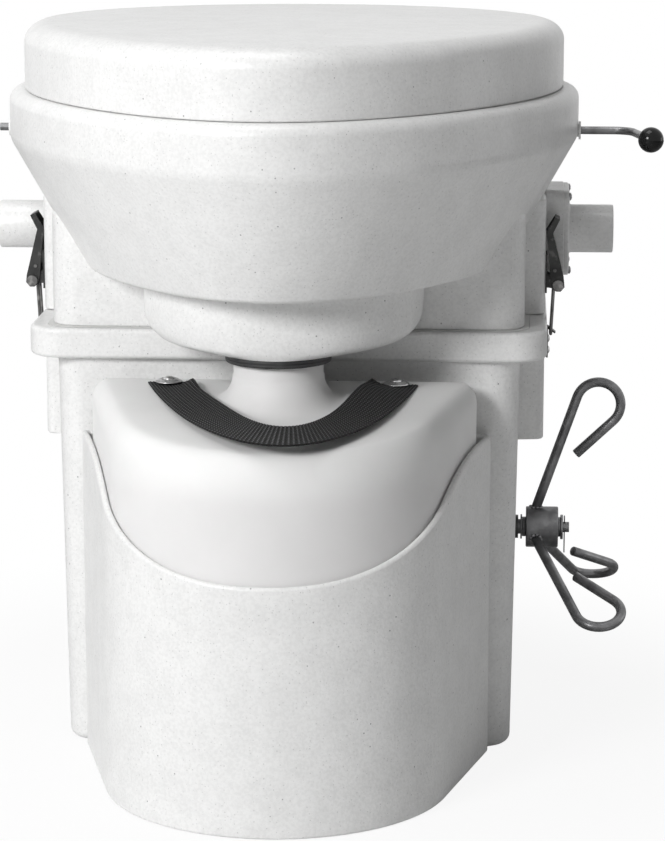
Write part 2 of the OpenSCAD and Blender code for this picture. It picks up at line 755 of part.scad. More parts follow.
module bowl() color("white") difference() {
    loft(concat(
        [egg_ring(bowl_flange_in, deck_z + EPS, BOWL_AROUND)],
        [egg_ring(bowl_flange_in, deck_z + bowl_flange_t, BOWL_AROUND)],
        [for (s = BOWL_STEPS) bowl_row(s, bowl_r, 0)],
        [for (e = BALL_ANGLES) ball_row(bowl_r, e)],
        [for (k = [len(BALL_ANGLES) - 1:-1:0]) ball_row(bowl_r + bowl_wall, BALL_ANGLES[k])],
        [for (k = [len(BOWL_STEPS) - 1:-1:0]) bowl_row(BOWL_STEPS[k],
            bowl_r + bowl_wall * BOWL_STEPS[k], BOWL_STEPS[k] == 1 ? 1.5 : bowl_wall)],
        [egg_ring(deck_w + 2, deck_z + EPS, BOWL_AROUND)]
    ), closed = true);
    translate([0, hollow_y, deck_z - 100]) cylinder(r = drain_r - 4, h = 100);
}

drain_top = deck_z + bowl_flange_t - (deck_z + bowl_flange_t - trap_z - bowl_r * sin(lip_angle))
    * pow(0.5, 0.8) - hollow_d - bowl_wall;
module drain_tube() color("gainsboro") translate([0, -outlet_y, under_z - 6]) difference() {
    cylinder(r = drain_r, h = drain_top - under_z + 5);
    translate([0, 0, -1]) cylinder(r = drain_r - 3, h = drain_top - under_z + 8);
}

trap_in = bowl_r + bowl_wall + trap_gap;
trap_out = trap_in + trap_t;
trap_half_angle = mouth_angle + trap_lap;
module trap_door() color("gainsboro") translate([0, trap_y, trap_z]) difference() {
    intersection() {
        difference() {
            sphere(r = trap_out, $fn = 64);
            sphere(r = trap_in, $fn = 64);
        }
        union() {
            translate([0, 0, -trap_out - 1])
                cylinder(r = trap_out * sin(trap_half_angle), h = trap_out * 0.6);
            translate([-trap_out - 1, -12, -trap_out - 1]) cube([2 * trap_out + 2, 24, trap_out + 12]);
        }
    }
    rod_x(lever_r + run_clear, -trap_out - 1, trap_out + 1, 0, 0);
}

bend_r = 12;
lever_splay = 8;
module trap_lever() color("dimgray") translate([0, trap_y, trap_z]) union() {
    rod_x(lever_r, trap_in, band_half_w + lever_out + JOIN, 0, 0);
    translate([band_half_w + lever_out, -bend_r, 0]) rotate([0, 0, lever_splay])
        rotate_extrude(angle = 90 - lever_splay) translate([bend_r, 0]) circle(r = lever_r - SLIM);
    translate([band_half_w + lever_out + bend_r * cos(lever_splay),
        -bend_r + bend_r * sin(lever_splay), 0])
        rotate([90, 0, lever_splay]) translate([0, 0, -JOIN]) cylinder(r = lever_r, h = lever_l + JOIN);
}
knob_place = [band_half_w + lever_out + bend_r * cos(lever_splay) + (lever_l + 2) * sin(lever_splay),
    -bend_r + bend_r * sin(lever_splay) - (lever_l + 2) * cos(lever_splay), 0];
module trap_knob() color("black") translate([0, trap_y, trap_z]) difference() {
    translate(knob_place) sphere(r = knob_r);
    translate(knob_place) rotate([90, 0, lever_splay + 180]) translate([0, 0, -2])
        cylinder(r = lever_r + EPS, h = 3 * knob_r);
}

module trap_pivot() color("dimgray")
    mirror([1, 0, 0]) rod_x(lever_r, trap_in, band_half_w + 9, trap_y, trap_z);

module lever_bushings() color("gray") both_sides() difference() {
    union() {
        rod_x(lever_r + 2, band_half_w - 8, band_half_w + 1, trap_y, trap_z);
        rod_x(lever_r + 4, band_half_w + EPS, band_half_w + 1.5, trap_y, trap_z);
    }
    rod_x(lever_r + run_clear, band_half_w - 9, band_half_w + 3, trap_y, trap_z);
}

// ---- seat, lid and their hinges ----

seat_out = lid_step + lid_wall + seat_gap;
hinge_pin_r = 3;
lug_l = 11.7;
// knuckle with an arm that runs forward into a moulding
module hinge_arm(x0, reach) {
    rod_x(knuckle_r, x0, x0 + lug_l, hinge_y, hinge_z);
    translate([x0, hinge_y - reach, hinge_z - 3]) cube([lug_l, reach, 6.5]);
}
module hinge_bores() {
    both_sides() rod_x(hinge_pin_r + run_clear, hinge_half - 60, hinge_half + 60, hinge_y, hinge_z);
}
function hole_ring(inset, z) = [
    for (i = [0:BOWL_AROUND - 1])
    let (a = 360 * i / BOWL_AROUND)
    [(seat_hole_w - inset) * cos(a), 2 + (seat_hole_w * 1.34 - inset) * sin(a), z]
];

module seat() color("white") difference() {
    union() {
        loft([
            egg_ring(seat_out + 2, seat_z, BOWL_AROUND),
            egg_ring(seat_out, seat_z + 3, BOWL_AROUND),
            egg_ring(seat_out + 1, seat_z + seat_t * 0.6, BOWL_AROUND),
            egg_ring(seat_out + 9, seat_z + seat_t, BOWL_AROUND),
            hole_ring(-22, seat_z + seat_t - 1),
            hole_ring(-6, seat_z + seat_t * 0.55),
            hole_ring(0, seat_z + 4),
            hole_ring(-2, seat_z)
        ], closed = true);
        both_sides() hinge_arm(hinge_half - 5 - lug_l - clear, 46);
    }
    hinge_bores();
}

module seat_bumpers() color("dimgray") {
    for (p = [[-140, 90], [140, 90], [-110, -95], [110, -95]]) {
        translate([p[0], p[1], seat_z - bumper_h]) cylinder(r = 8, h = bumper_h - EPS);
    }
}

module lid() color("whitesmoke") difference() {
    union() {
        loft([
            egg_ring(lid_step + lid_wall + 12, lid_top - lid_wall - 1),
            egg_ring(lid_step + lid_wall + 3, lid_top - lid_wall - 5),
            egg_ring(lid_step + lid_wall, lid_top - lid_wall - 12),
            egg_ring(lid_step + lid_wall, lid_bottom),
            egg_ring(lid_step + 1, lid_bottom),
            egg_ring(lid_step, lid_bottom + 1.5),
            egg_ring(lid_step, lid_top - lid_edge_r),
            egg_ring(lid_step + lid_edge_r * 0.15, lid_top - lid_edge_r * 0.5),
            egg_ring(lid_step + lid_edge_r * 0.5, lid_top - lid_edge_r * 0.15),
            egg_ring(lid_step + lid_edge_r, lid_top - 0.8),
            egg_ring(lid_step + lid_edge_r * 3, lid_top)
        ]);
        both_sides() hinge_arm(hinge_half + 5 + clear, 36);
    }
    hinge_bores();
    both_sides() translate([hinge_half - 6 - lug_l - 1, hinge_y - 70, lid_bottom - 2])
        cube([lug_l + 2, 80, 18]);
}

module seat_hinge_brackets() color("whitesmoke") both_sides() difference() {
    union() {
        rod_x(knuckle_r, hinge_half - 5, hinge_half + 5, hinge_y, hinge_z);
        translate([hinge_half - 5, band_back - 4, hinge_z - 42]) cube([10, hinge_out + 4, 42]);
        translate([hinge_half - 16, band_back - 20, hinge_z - 42]) cube([32, 23, 30]);
    }
    hinge_bores();
    translate([0, 0, deck_z - 60]) linear_extrude(height = 90)
        polygon([for (p = egg_ring(-EPS, 0)) [p[0], p[1]]]);
    bracket_screw_places() cylinder(r = 2.1, h = 12, center = true);
}
module bracket_screw_places() {
    for (dx = [-11, 11]) translate([hinge_half + dx, band_back + 3, hinge_z - 27])
        rotate([-90, 0, 0]) children();
}
module bracket_screws() color("silver") both_sides() bracket_screw_places() screw(4, 2, 2, 2);

module seat_hinge_pins() color("silver") both_sides()
    rod_x(hinge_pin_r, hinge_half - 18, hinge_half + 18, hinge_y, hinge_z);

// ---- fan and vent ----

fan_x = pad_face + EPS;
module plate_x(w, h, r, x0, x1) {
    translate([x0, vent_y, vent_z]) rotate([90, 0, 90])
        linear_extrude(height = x1 - x0) rounded_rect(w, h, r);
}
module fan_housing() color("whitesmoke") difference() {
    union() {
        plate_x(fan_w, fan_h, 9, fan_x, fan_x + fan_d);
        rod_x(spigot_r, fan_x + fan_d - 1, fan_x + fan_d + spigot_l, vent_y, vent_z);
    }
    plate_x(fan_side + 1, fan_side + 1, 2, fan_x - 1, fan_x + fan_d - 2.5);
    rod_x(spigot_r - spigot_wall, fan_x, fan_x + fan_d + spigot_l + 1, vent_y, vent_z);
    fan_screw_places() cylinder(r = 1.5, h = 8, center = true);
}

fan_t = 15;
module fan_frame() color("black") difference() {
    union() {
        difference() {
            plate_x(fan_side, fan_side, 3, fan_x + 0.4, fan_x + fan_t);
            rod_x(fan_side / 2 - 2, fan_x - 1, fan_x + fan_t + 1, vent_y, vent_z);
        }
        rod_x(9, fan_x + fan_t - 3, fan_x + fan_t, vent_y, vent_z);
        for (a = [45, 135, 225, 315]) translate([fan_x + fan_t - 3, vent_y, vent_z])
            rotate([a, 0, 0]) translate([0, -2, 7]) cube([2.8, 4, fan_side / 2 - 4]);
    }
    rod_x(2 + run_clear, fan_x + fan_t - 4, fan_x + fan_t + 1, vent_y, vent_z);
}
module fan_rotor() color("black") translate([fan_x + 1.5, vent_y, vent_z]) union() {
    rotate([0, 90, 0]) cylinder(r = 10, h = 9);
    rotate([0, 90, 0]) cylinder(r = 2, h = fan_t - 3);
    for (i = [0:6]) rotate([i * 360 / 7, 0, 0]) translate([4.5, 0, 9.5]) rotate([0, 0, 50])
        translate([-5, -0.8, 0]) cube([10, 1.6, fan_side / 2 - 13]);
}
module fan_screw_places() {
    for (dy = [-1, 1], dz = [-1, 1]) {
        translate([fan_x + fan_d, vent_y + dy * (fan_w / 2 - 6), vent_z + dz * (fan_h / 2 - 5)])
            rotate([0, 90, 0]) children();
    }
}
module fan_screws() color("gray") fan_screw_places() screw(3, 1.8, 1.4, 2.4);

// tube with a shoulder against the pad and a slimmer root through the wall
module vent_spigot() color("whitesmoke") mirror([1, 0, 0]) difference() {
    union() {
        rod_x(spigot_r - 0.8, neck_half_w - wall, pad_face + 1, vent_y, vent_z);
        rod_x(spigot_r, pad_face + EPS, pad_face + left_spigot_l, vent_y, vent_z);
    }
    rod_x(spigot_r - spigot_wall, neck_half_w - wall - 1, pad_face + left_spigot_l + 1,
        vent_y, vent_z);
}
// mesh disc in a thin ring, inside the left spigot
module vent_screen() color("gray") mirror([1, 0, 0]) union() {
    difference() {
        rod_x(spigot_r - spigot_wall - EPS, pad_face + 6, pad_face + 9, vent_y, vent_z);
        rod_x(spigot_r - spigot_wall - 2, pad_face + 5, pad_face + 10, vent_y, vent_z);
    }
    for (k = [-2:2]) {
        half = sqrt(pow(spigot_r - spigot_wall - 1, 2) - pow(5.5 * k, 2)) - 0.5;
        translate([pad_face + 7, vent_y - half, vent_z + k * 5.5 - 0.4]) cube([0.8, 2 * half, 0.8]);
        translate([pad_face + 7.8 - EPS, vent_y + k * 5.5 - 0.4, vent_z - half])
            cube([0.8, 0.8, 2 * half]);
    }
}

// ---- draw latches ----

flange_in = latch_w / 2 - sheet;
bail_pivot = [-2.7, 11.5];
bail_leg_y = 5.5;
// top of the window in the lever through which the bail swings
window_top = 25;
lever_outline = [
    [-4.5, -2.5], [-1.5, -5], [2, -5], [5, -1.5], [4.5, 4], [1.5, 16], [-4.5, 40.5],
    [0.8, 51.5], [-2.6, 53.2], [-9.7, 41.5], [-7.2, 20], [-6, 4]
];
// extrudes a profile drawn in x and z along y, about the latch's middle
module latch_profile(w) {
    translate([0, w / 2, 0]) rotate([90, 0, 0]) linear_extrude(height = w) children();
}
module along_y(r, half, x, z) {
    translate([x, half, z]) rotate([90, 0, 0]) cylinder(r = r, h = 2 * half);
}
module at_latch() translate([latch_x, latch_y, latch_z]) children();

module latch_lever() color("dimgray") at_latch() difference() {
    latch_profile(latch_w) polygon(lever_outline);
    latch_profile(latch_w - 2 * sheet) union() {
        translate([-1.5, -0.4]) polygon(lever_outline);
        translate([-8, -8]) square([16, 14]);
    }
    latch_profile(2 * (bail_leg_y + bail_r + clear)) translate([-8, 0]) square([16, window_top]);
    along_y(rivet_r + run_clear, latch_w, 0, 0);
    along_y(bail_r + run_clear, latch_w, bail_pivot[0], bail_pivot[1]);
}
module latch_lever_right() latch_lever();
module latch_lever_left() mirror([1, 0, 0]) latch_lever();

keeper_lip = [7.2, -4.6];
keeper_top = base_h - 11;
bail_foot = [flange_half_w + sheet + bail_r + 0.7 - latch_x, keeper_top - 4.1 - bail_r - latch_z];
module latch_bail() color("dimgray") at_latch() union() {
    along_y(bail_r, latch_w / 2 + 1, bail_pivot[0], bail_pivot[1]);
    along_y(bail_r, bail_leg_y, bail_foot[0], bail_foot[1]);
    for (side = [-1, 1]) {
        translate([bail_foot[0], side * bail_leg_y, bail_foot[1]]) sphere(r = bail_r + SLIM);
        translate([bail_foot[0], side * bail_leg_y, bail_foot[1]])
            rotate([0, atan2(bail_pivot[0] - bail_foot[0], bail_pivot[1] - bail_foot[1]), 0])
            cylinder(r = bail_r - SLIM, h = norm(bail_pivot - bail_foot));
    }
}
module latch_bail_right() latch_bail();
module latch_bail_left() mirror([1, 0, 0]) latch_bail();

lug_in = flange_in - clear - sheet;
module latch_plates() color("gray") both_sides() at_latch() union() {
    translate([-latch_pivot_out + EPS, -latch_w / 2 - 1, -6]) cube([sheet, latch_w + 2, 30]);
    difference() {
        for (side = [-1, 1]) translate([0, side * (lug_in + sheet / 2), 0])
            latch_profile(sheet) union() {
                circle(r = 3.2);
                polygon([[-latch_pivot_out + sheet / 2, -2], [0, -3.2], [3.2, 0],
                    [1, 3], [-latch_pivot_out + sheet / 2, 9]]);
            }
        along_y(rivet_r + run_clear, latch_w, 0, 0);
    }
}
module latch_rivets() color("gray") both_sides() at_latch() {
    for (side = [-1, 1]) rotate([side * 90, 0, 0]) union() {
        translate([0, 0, -latch_w / 2 - 0.6]) cylinder(r = rivet_r, h = latch_w / 2 + 0.6 - lug_in);
        translate([0, 0, -latch_w / 2 - 2]) cylinder(r = rivet_r + 2.2, h = 1.8);
    }
}

lip_w = 2 * (bail_leg_y - bail_r - clear);
module latch_keepers() color("gray") both_sides() translate([flange_half_w + EPS, latch_y, keeper_top])
    difference() {
        union() {
            latch_profile(16) translate([0, -24]) square([sheet, 23]);
            latch_profile(lip_w) polygon([[0, 0], [0, -1.2], [keeper_lip[0] - 0.8, keeper_lip[1] - 1],
                keeper_lip, [1.2, 0]]);
        }
        for (z = [-10, -19]) translate([-1, 0, z]) rotate([0, 90, 0]) cylinder(r = 1.6, h = 4);
    }
module keeper_screws() color("silver") both_sides() {
    for (z = [-10, -19]) translate([flange_half_w + EPS + sheet, latch_y, keeper_top + z])
        rotate([0, 90, 0]) screw(3, 1.5, 1.5, sheet);
}

// ---- bottle and its handle ----

bottle_z = shelf_z + clear;
mouth_z = sump_z - gasket_t - clear;
bottle_top = mouth_z - bottle_neck_h;
function bottle_top_z(y) = bottle_top - bottle_slope * (-bottle_back - y);
function edge_h(y) = 13 + 0.1 * (-bottle_back - y);
function bottle_plan(inset) = cradle_plan(bottle_front_in + inset, bottle_back + inset,
    max(3, bottle_corner - inset), 11, 2);
function bottle_ring(inset, z) = lift(bottle_plan(inset), z);
// a row of the rounded top edge: set in and dropped in proportion to the edge's local height
function top_row(inset, drop) = [
    for (p = bottle_plan(inset)) [p[0], p[1], bottle_top_z(p[1]) - drop * edge_h(p[1])]
];
function mouth_row(r, z) = [
    for (p = bottle_plan(0))
    let (a = atan2(p[1] + outlet_y, p[0]))
    [r * cos(a), r * sin(a) - outlet_y, z]
];

module bottle() color("white", 0.8) loft([
    bottle_ring(8, bottle_z),
    bottle_ring(2, bottle_z + 3),
    bottle_ring(0, bottle_z + 9),
    top_row(0, 1),
    top_row(1.5, 0.55),
    top_row(6, 0.18),
    top_row(13, 0.02),
    mouth_row(mouth_r + 16, bottle_top_z(-outlet_y)),
    mouth_row(mouth_r + 5, bottle_top + 2),
    mouth_row(mouth_r, bottle_top + 8),
    mouth_row(mouth_r, mouth_z),
    mouth_row(mouth_r - bottle_wall, mouth_z),
    mouth_row(mouth_r - bottle_wall, bottle_top + 6),
    mouth_row(mouth_r + 12, bottle_top_z(-outlet_y) - bottle_wall * 1.5),
    bottle_ring(18, bottle_top - 26),
    bottle_ring(bottle_wall, bottle_top - 54),
    bottle_ring(bottle_wall, bottle_z + 9),
    bottle_ring(8 + bottle_wall, bottle_z + bottle_wall)
]);

// The webbing runs from screw to screw in a U that leans over the bottle's shoulder.
STRAP_STEPS = 22;
strap_reach = 163;
strap_y = bottle_back + 24;
function unit(v) = v / norm(v);
function strap_centre(u) = [strap_lean * pow(sin(u), 2) - strap_half * cos(u), -strap_y - strap_reach * pow(sin(u), 2),
    bottle_top_z(-strap_y) + strap_t / 2 + 0.4 - 6.5 * pow(sin(u), 2)];
function strap_across(u) = unit([-cos(u), -pow(sin(u), 3), -0.3 * sin(u)]);
function strap_run(u) = strap_centre(min(180, u + 3)) - strap_centre(max(0, u - 3));
function strap_face(u) = unit(cross(strap_across(u), strap_run(u)));
function strap_corner(u, i, j) =
    strap_centre(u) + strap_across(u) * i * strap_w / 2 + strap_face(u) * j * strap_t / 2;
module bottle_strap() color("black") loft([
    for (k = [0:STRAP_STEPS])
    let (u = 180 * k / STRAP_STEPS)
    [strap_corner(u, -1, -1), strap_corner(u, 1, -1), strap_corner(u, 1, 1), strap_corner(u, -1, 1)]
]);

module strap_places() {
    for (side = [-1, 1]) translate([side * strap_half, -strap_y - 4,
        bottle_top_z(-strap_y) + strap_t + 1]) children();
}
module strap_washers() color("silver") strap_places() difference() {
    cylinder(r1 = 10, r2 = 6, h = 2);
    translate([0, 0, -1]) cylinder(r = 3.1, h = 4);
}
module strap_screws() color("silver") strap_places() translate([0, 0, 2 + EPS]) screw(4.5, 2, 3, 1.8);

base_bin();
base_seal();
bottle_cradle();
cradle_screws();
shaft_bushings();
stirrer_shaft();
stirrer_tines();
crank_hub();
crank_arms();
crank_washers();
crank_cotter();
shaft_collar();
rear_hinge_base();
rear_hinge_top();
rear_hinge_pins();
top_housing();
liquid_sump();
outlet_gasket();
bowl();
drain_tube();
trap_door();
trap_lever();
trap_pivot();
trap_knob();
lever_bushings();
seat();
seat_bumpers();
lid();
seat_hinge_brackets();
seat_hinge_pins();
bracket_screws();
fan_housing();
fan_frame();
fan_rotor();
fan_screws();
vent_spigot();
vent_screen();
latch_plates();
latch_rivets();
latch_lever_right();
latch_lever_left();
latch_bail_right();
latch_bail_left();
latch_keepers();
keeper_screws();
bottle();
bottle_strap();
strap_screws();
strap_washers();
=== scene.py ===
"""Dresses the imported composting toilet: smooth mouldings, bent steel rods, webbing and latches,
their finishes, and the studio that they are seen in.

Shapes are worked in millimetres and become metres where a mesh is finished."""
import logging
import math
from dataclasses import dataclass, field
from enum import Enum
from typing import Callable, Optional, Sequence, Union

import bmesh
import bpy
from mathutils import Matrix, Vector


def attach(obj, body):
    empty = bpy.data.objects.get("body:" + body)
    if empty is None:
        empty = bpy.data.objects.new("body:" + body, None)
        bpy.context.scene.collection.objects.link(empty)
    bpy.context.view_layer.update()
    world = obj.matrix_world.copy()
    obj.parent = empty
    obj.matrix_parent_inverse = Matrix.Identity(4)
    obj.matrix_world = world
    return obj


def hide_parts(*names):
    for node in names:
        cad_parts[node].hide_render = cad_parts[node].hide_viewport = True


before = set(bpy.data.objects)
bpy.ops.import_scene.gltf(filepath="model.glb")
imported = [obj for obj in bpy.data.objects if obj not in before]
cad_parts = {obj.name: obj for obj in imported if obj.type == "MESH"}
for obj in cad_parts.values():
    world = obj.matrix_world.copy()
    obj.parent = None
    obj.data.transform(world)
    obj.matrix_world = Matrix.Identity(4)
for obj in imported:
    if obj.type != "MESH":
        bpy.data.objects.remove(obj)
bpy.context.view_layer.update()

Point = tuple[float, float, float]
Ring = list[Point]
Profile = list[tuple[float, float]]
Colour = tuple[float, float, float]

# A millimetre in metres, and the pitch of the webbing's ribs and cords in millimetres.
MM = 0.001
RIB_PITCH = 3.3
CORD_PITCH = 2.4
WHITE = (1.0, 1.0, 1.0, 1.0)

log = logging.getLogger("toilet")


# ---- shaders ----------------------------------------------------------------------------------


class Value:
    """A number that varies over a surface, held as a node socket, with Python arithmetic."""

    def __init__(self, tree: "Tree", socket: bpy.types.NodeSocket) -> None:
        """Keeps the tree that the socket belongs to.

        Args:
            tree: the node tree in the making.
            socket: an output socket that gives one number.
        """
        self.tree = tree
        self.socket = socket

    def _math(self, operation: str, first: "Number", second: "Number" = 0.0) -> "Value":
        """Adds a Math node and returns its result."""
        node = self.tree.node("ShaderNodeMath", {"operation": operation}, {0: first, 1: second})
        return Value(self.tree, node.outputs[0])

    def __add__(self, other: "Number") -> "Value":
        """Sum."""
        return self._math("ADD", self, other)

    __radd__ = __add__

    def __sub__(self, other: "Number") -> "Value":
        """Difference."""
        return self._math("SUBTRACT", self, other)

    def __rsub__(self, other: "Number") -> "Value":
        """Difference with the number in front."""
        return self._math("SUBTRACT", other, self)

    def __mul__(self, other: "Number") -> "Value":
        """Product."""
        return self._math("MULTIPLY", self, other)

    __rmul__ = __mul__

    def either(self, other: "Number") -> "Value":
        """The larger of two."""
        return self._math("MAXIMUM", self, other)

    def cosine(self) -> "Value":
        """Cosine of an angle in radians."""
        return self._math("COSINE", self)

    def ramp(self, low: float, high: float) -> "Value":
        """Rises smoothly from 0 to 1.

        Args:
            low: where it starts to rise.
            high: where it is 1.

        Returns:
            The result.
        """
        limits = {"Value": self, "From Min": low, "From Max": high}
        node = self.tree.node("ShaderNodeMapRange", {"interpolation_type": "SMOOTHSTEP"}, limits)
        return Value(self.tree, node.outputs["Result"])


Number = Union[Value, float]
Input = Union[Value, bpy.types.NodeSocket, float, Sequence[float]]


@dataclass(frozen=True)
class Flecks:
    """One grade of the flecks in a moulding's colour.

    The cells are counted a metre, the radius is in cells, the share is that of the cells that
    hold a fleck, and the strength is that of its colour.
    """

    cells: float
    radius: float
    share: float
    strength: float


class Tree:
    """A node tree in the making."""

    def __init__(self, tree: bpy.types.NodeTree) -> None:
        """Empties the tree."""
        self.tree = tree
        tree.nodes.clear()

    def node(
        self,
        kind: str,
        settings: Optional[dict[str, object]] = None,
        inputs: Optional[dict[Union[str, int], Input]] = None,
    ) -> bpy.types.Node:
        """Adds a node.

        Args:
            kind: the node's type.
            settings: attributes that are set before the sockets.
            inputs: a value or a link for each named or numbered input socket.

        Returns:
            The node.
        """
        made = self.tree.nodes.new(kind)
        for key, value in (settings or {}).items():
            setattr(made, key, value)
        for key, value in (inputs or {}).items():
            if isinstance(value, Value):
                value = value.socket
            if isinstance(value, bpy.types.NodeSocket):
                self.tree.links.new(value, made.inputs[key])
            else:
                made.inputs[key].default_value = value
        return made


class Shader(Tree):
    """A node material in the making, on Object coordinates."""

    def __init__(self, name: str) -> None:
        """Starts an empty material.

        Args:
            name: the material's name.
        """
        self.material = bpy.data.materials.new(name)
        self.material.use_nodes = True
        super().__init__(self.material.node_tree)
        self.place = self.node("ShaderNodeTexCoord").outputs["Object"]

    def stretched(self, scale: Point) -> bpy.types.NodeSocket:
        """Object coordinates scaled on their way to a pattern."""
        mapping = self.node("ShaderNodeMapping", None, {"Vector": self.place, "Scale": scale})
        return mapping.outputs["Vector"]

    def noise(
        self, scale: float, detail: float = 2, place: Optional[bpy.types.NodeSocket] = None
    ) -> Value:
        """Soft noise from about 0.3 to 0.7, with that many waves a metre."""
        inputs = {"Vector": place or self.place, "Scale": scale, "Detail": detail}
        return Value(self, self.node("ShaderNodeTexNoise", None, inputs).outputs["Fac"])

    def flecks(self, grade: Flecks) -> Value:
        """A mask of round flecks.

        Args:
            grade: their size, number and strength.

        Returns:
            The strength in a fleck, 0 between them.
        """
        cells = self.node(
            "ShaderNodeTexVoronoi", None, {"Vector": self.place, "Scale": grade.cells}
        )
        apart = self.node("ShaderNodeSeparateColor", None, {"Color": cells.outputs["Color"]})
        inside = 1 - Value(self, cells.outputs["Distance"]).ramp(grade.radius * 0.6, grade.radius)
        chosen = Value(self, apart.outputs["Red"]).ramp(1 - grade.share, 1.02 - grade.share)
        return inside * chosen * grade.strength

    def mix(self, share: Number, first: Input, second: Input) -> bpy.types.NodeSocket:
        """Mixes two colours.

        Args:
            share: how much of the second, from 0 to 1.
            first: a plain colour or a link.
            second: a plain colour or a link.

        Returns:
            The mixed colour.
        """

        def four(colour: Input) -> Input:
            """Gives a plain colour its alpha."""
            return (*colour, 1.0) if isinstance(colour, tuple) else colour

        inputs = {0: share, 6: four(first), 7: four(second)}
        return self.node("ShaderNodeMix", {"data_type": "RGBA"}, inputs).outputs[2]

    def bump(self, height: Value, depth: float) -> bpy.types.NodeSocket:
        """A normal from a height pattern that is depth metres deep."""
        inputs = {"Height": height, "Distance": depth}
        return self.node("ShaderNodeBump", None, inputs).outputs["Normal"]

    def close(self, inputs: dict[Union[str, int], Input]) -> bpy.types.Material:
        """Adds the surface shader and the output.

        Args:
            inputs: what the Principled shader's sockets get.

        Returns:
            The finished material.
        """
        surface = self.node("ShaderNodeBsdfPrincipled", None, inputs)
        self.node("ShaderNodeOutputMaterial", None, {"Surface": surface.outputs[0]})
        return self.material


@dataclass(frozen=True)
class SpeckledPlastic:
    """Rotomoulded granite-look polyethylene: white, with dark flecks and a faint orange peel."""

    name: str
    tint: Colour = (0.81, 0.81, 0.805)
    cloud: Colour = (0.68, 0.68, 0.675)
    fleck: Colour = (0.1, 0.1, 0.104)
    roughness: float = 0.36
    peel: float = 0.00012
    fleck_strength: float = 0.75
    coarse: Flecks = Flecks(230, 0.18, 0.05, 0.8)
    medium: Flecks = Flecks(430, 0.26, 0.3, 0.42)
    fine: Flecks = Flecks(800, 0.45, 0.55, 0.13)

    def build(self) -> bpy.types.Material:
        """Makes the material.

        Returns:
            The material.
        """
        shader = Shader(self.name)
        cloud = shader.noise(45, 3).ramp(0.35, 0.65) * 0.25
        grain = shader.noise(400, 3).ramp(0.36, 0.68) * 0.42
        ground = shader.mix(cloud + grain, self.tint, self.cloud)
        coarse, medium, fine = map(shader.flecks, (self.coarse, self.medium, self.fine))
        mask = (coarse + medium + fine) * self.fleck_strength
        colour = shader.mix(mask.ramp(0, 1), ground, self.fleck)
        wear = shader.noise(9, 4).ramp(0.3, 0.75)
        peel = shader.noise(420, 2) + shader.noise(90, 2) * 1.6
        return shader.close(
            {
                "Base Color": colour,
                "Roughness": self.roughness + wear * 0.08 + fine * 0.1,
                "Normal": shader.bump(peel, self.peel),
                "Coat Weight": 0.12,
                "Coat Roughness": 0.18,
            }
        )


@dataclass(frozen=True)
class SmoothPlastic:
    """Injection-moulded plastic with a light bloom and fine handling marks."""

    name: str
    tint: Colour
    shade: Colour
    roughness: float = 0.3
    coat: float = 0.2
    translucent: float = 0.0

    def build(self) -> bpy.types.Material:
        """Makes the material.

        Returns:
            The material.
        """
        shader = Shader(self.name)
        bloom = shader.noise(16, 4).ramp(0.32, 0.7)
        scuff = shader.noise(1, 5, shader.stretched((300, 300, 40))).ramp(0.6, 0.85)
        waves = shader.noise(22, 1) * 3 + shader.noise(600, 1) * 0.2
        return shader.close(
            {
                "Base Color": shader.mix(bloom * 0.7 + scuff * 0.15, self.tint, self.shade),
                "Roughness": self.roughness + bloom * 0.06 + scuff * 0.08,
                "Normal": shader.bump(waves, 0.0001),
                "Coat Weight": self.coat,
                "Coat Roughness": 0.12,
                "Subsurface Weight": self.translucent,
                "Subsurface Radius": (0.9, 1.0, 0.95),
                "Subsurface Scale": 0.012,
            }
        )


@dataclass(frozen=True)
class Metal:
    """Steel, from dark coated rod to bright fasteners, with brushing, blotches and worn spots."""

    name: str
    tint: Colour
    stain: Colour
    worn: Colour
    roughness: float
    metallic: float = 0.9
    wear: float = 0.3
    grain: Point = (60, 60, 60)
    depth: float = 0.00006

    def build(self) -> bpy.types.Material:
        """Makes the material.

        Returns:
            The material.
        """
        shader = Shader(self.name)
        blotch = shader.noise(70, 5).ramp(0.38, 0.66)
        brushed = shader.noise(14, 4, shader.stretched(self.grain))
        worn = shader.noise(190, 6).ramp(0.56, 0.7) * self.wear
        colour = shader.mix(worn, shader.mix(blotch, self.tint, self.stain), self.worn)
        return shader.close(
            {
                "Base Color": colour,
                "Metallic": self.metallic,
                "Roughness": self.roughness + blotch * 0.12 + brushed * 0.08 - worn * 0.12,
                "Normal": shader.bump(brushed + blotch * 0.6, self.depth),
            }
        )


@dataclass(frozen=True)
class Rubber:
    """Black moulded rubber with a dusty bloom."""

    name: str
    tint: Colour = (0.018, 0.018, 0.019)
    dust: Colour = (0.06, 0.06, 0.062)

    def build(self) -> bpy.types.Material:
        """Makes the material.

        Returns:
            The material.
        """
        shader = Shader(self.name)
        dust = shader.noise(120, 5).ramp(0.45, 0.75) * 0.5
        return shader.close(
            {
                "Base Color": shader.mix(dust, self.tint, self.dust),
                "Roughness": 0.5 + dust * 0.3,
                "Normal": shader.bump(shader.noise(900, 2), 0.00006),
            }
        )


@dataclass(frozen=True)
class BallGloss:
    """Polished black phenolic ball."""

    name: str

    def build(self) -> bpy.types.Material:
        """Makes the material.

        Returns:
            The material.
        """
        shader = Shader(self.name)
        smear = shader.noise(160, 4).ramp(0.4, 0.8)
        return shader.close(
            {
                "Base Color": shader.mix(smear * 0.3, (0.006, 0.006, 0.006), (0.022, 0.022, 0.023)),
                "Roughness": 0.07 + smear * 0.08,
                "Specular IOR Level": 0.2,
            }
        )


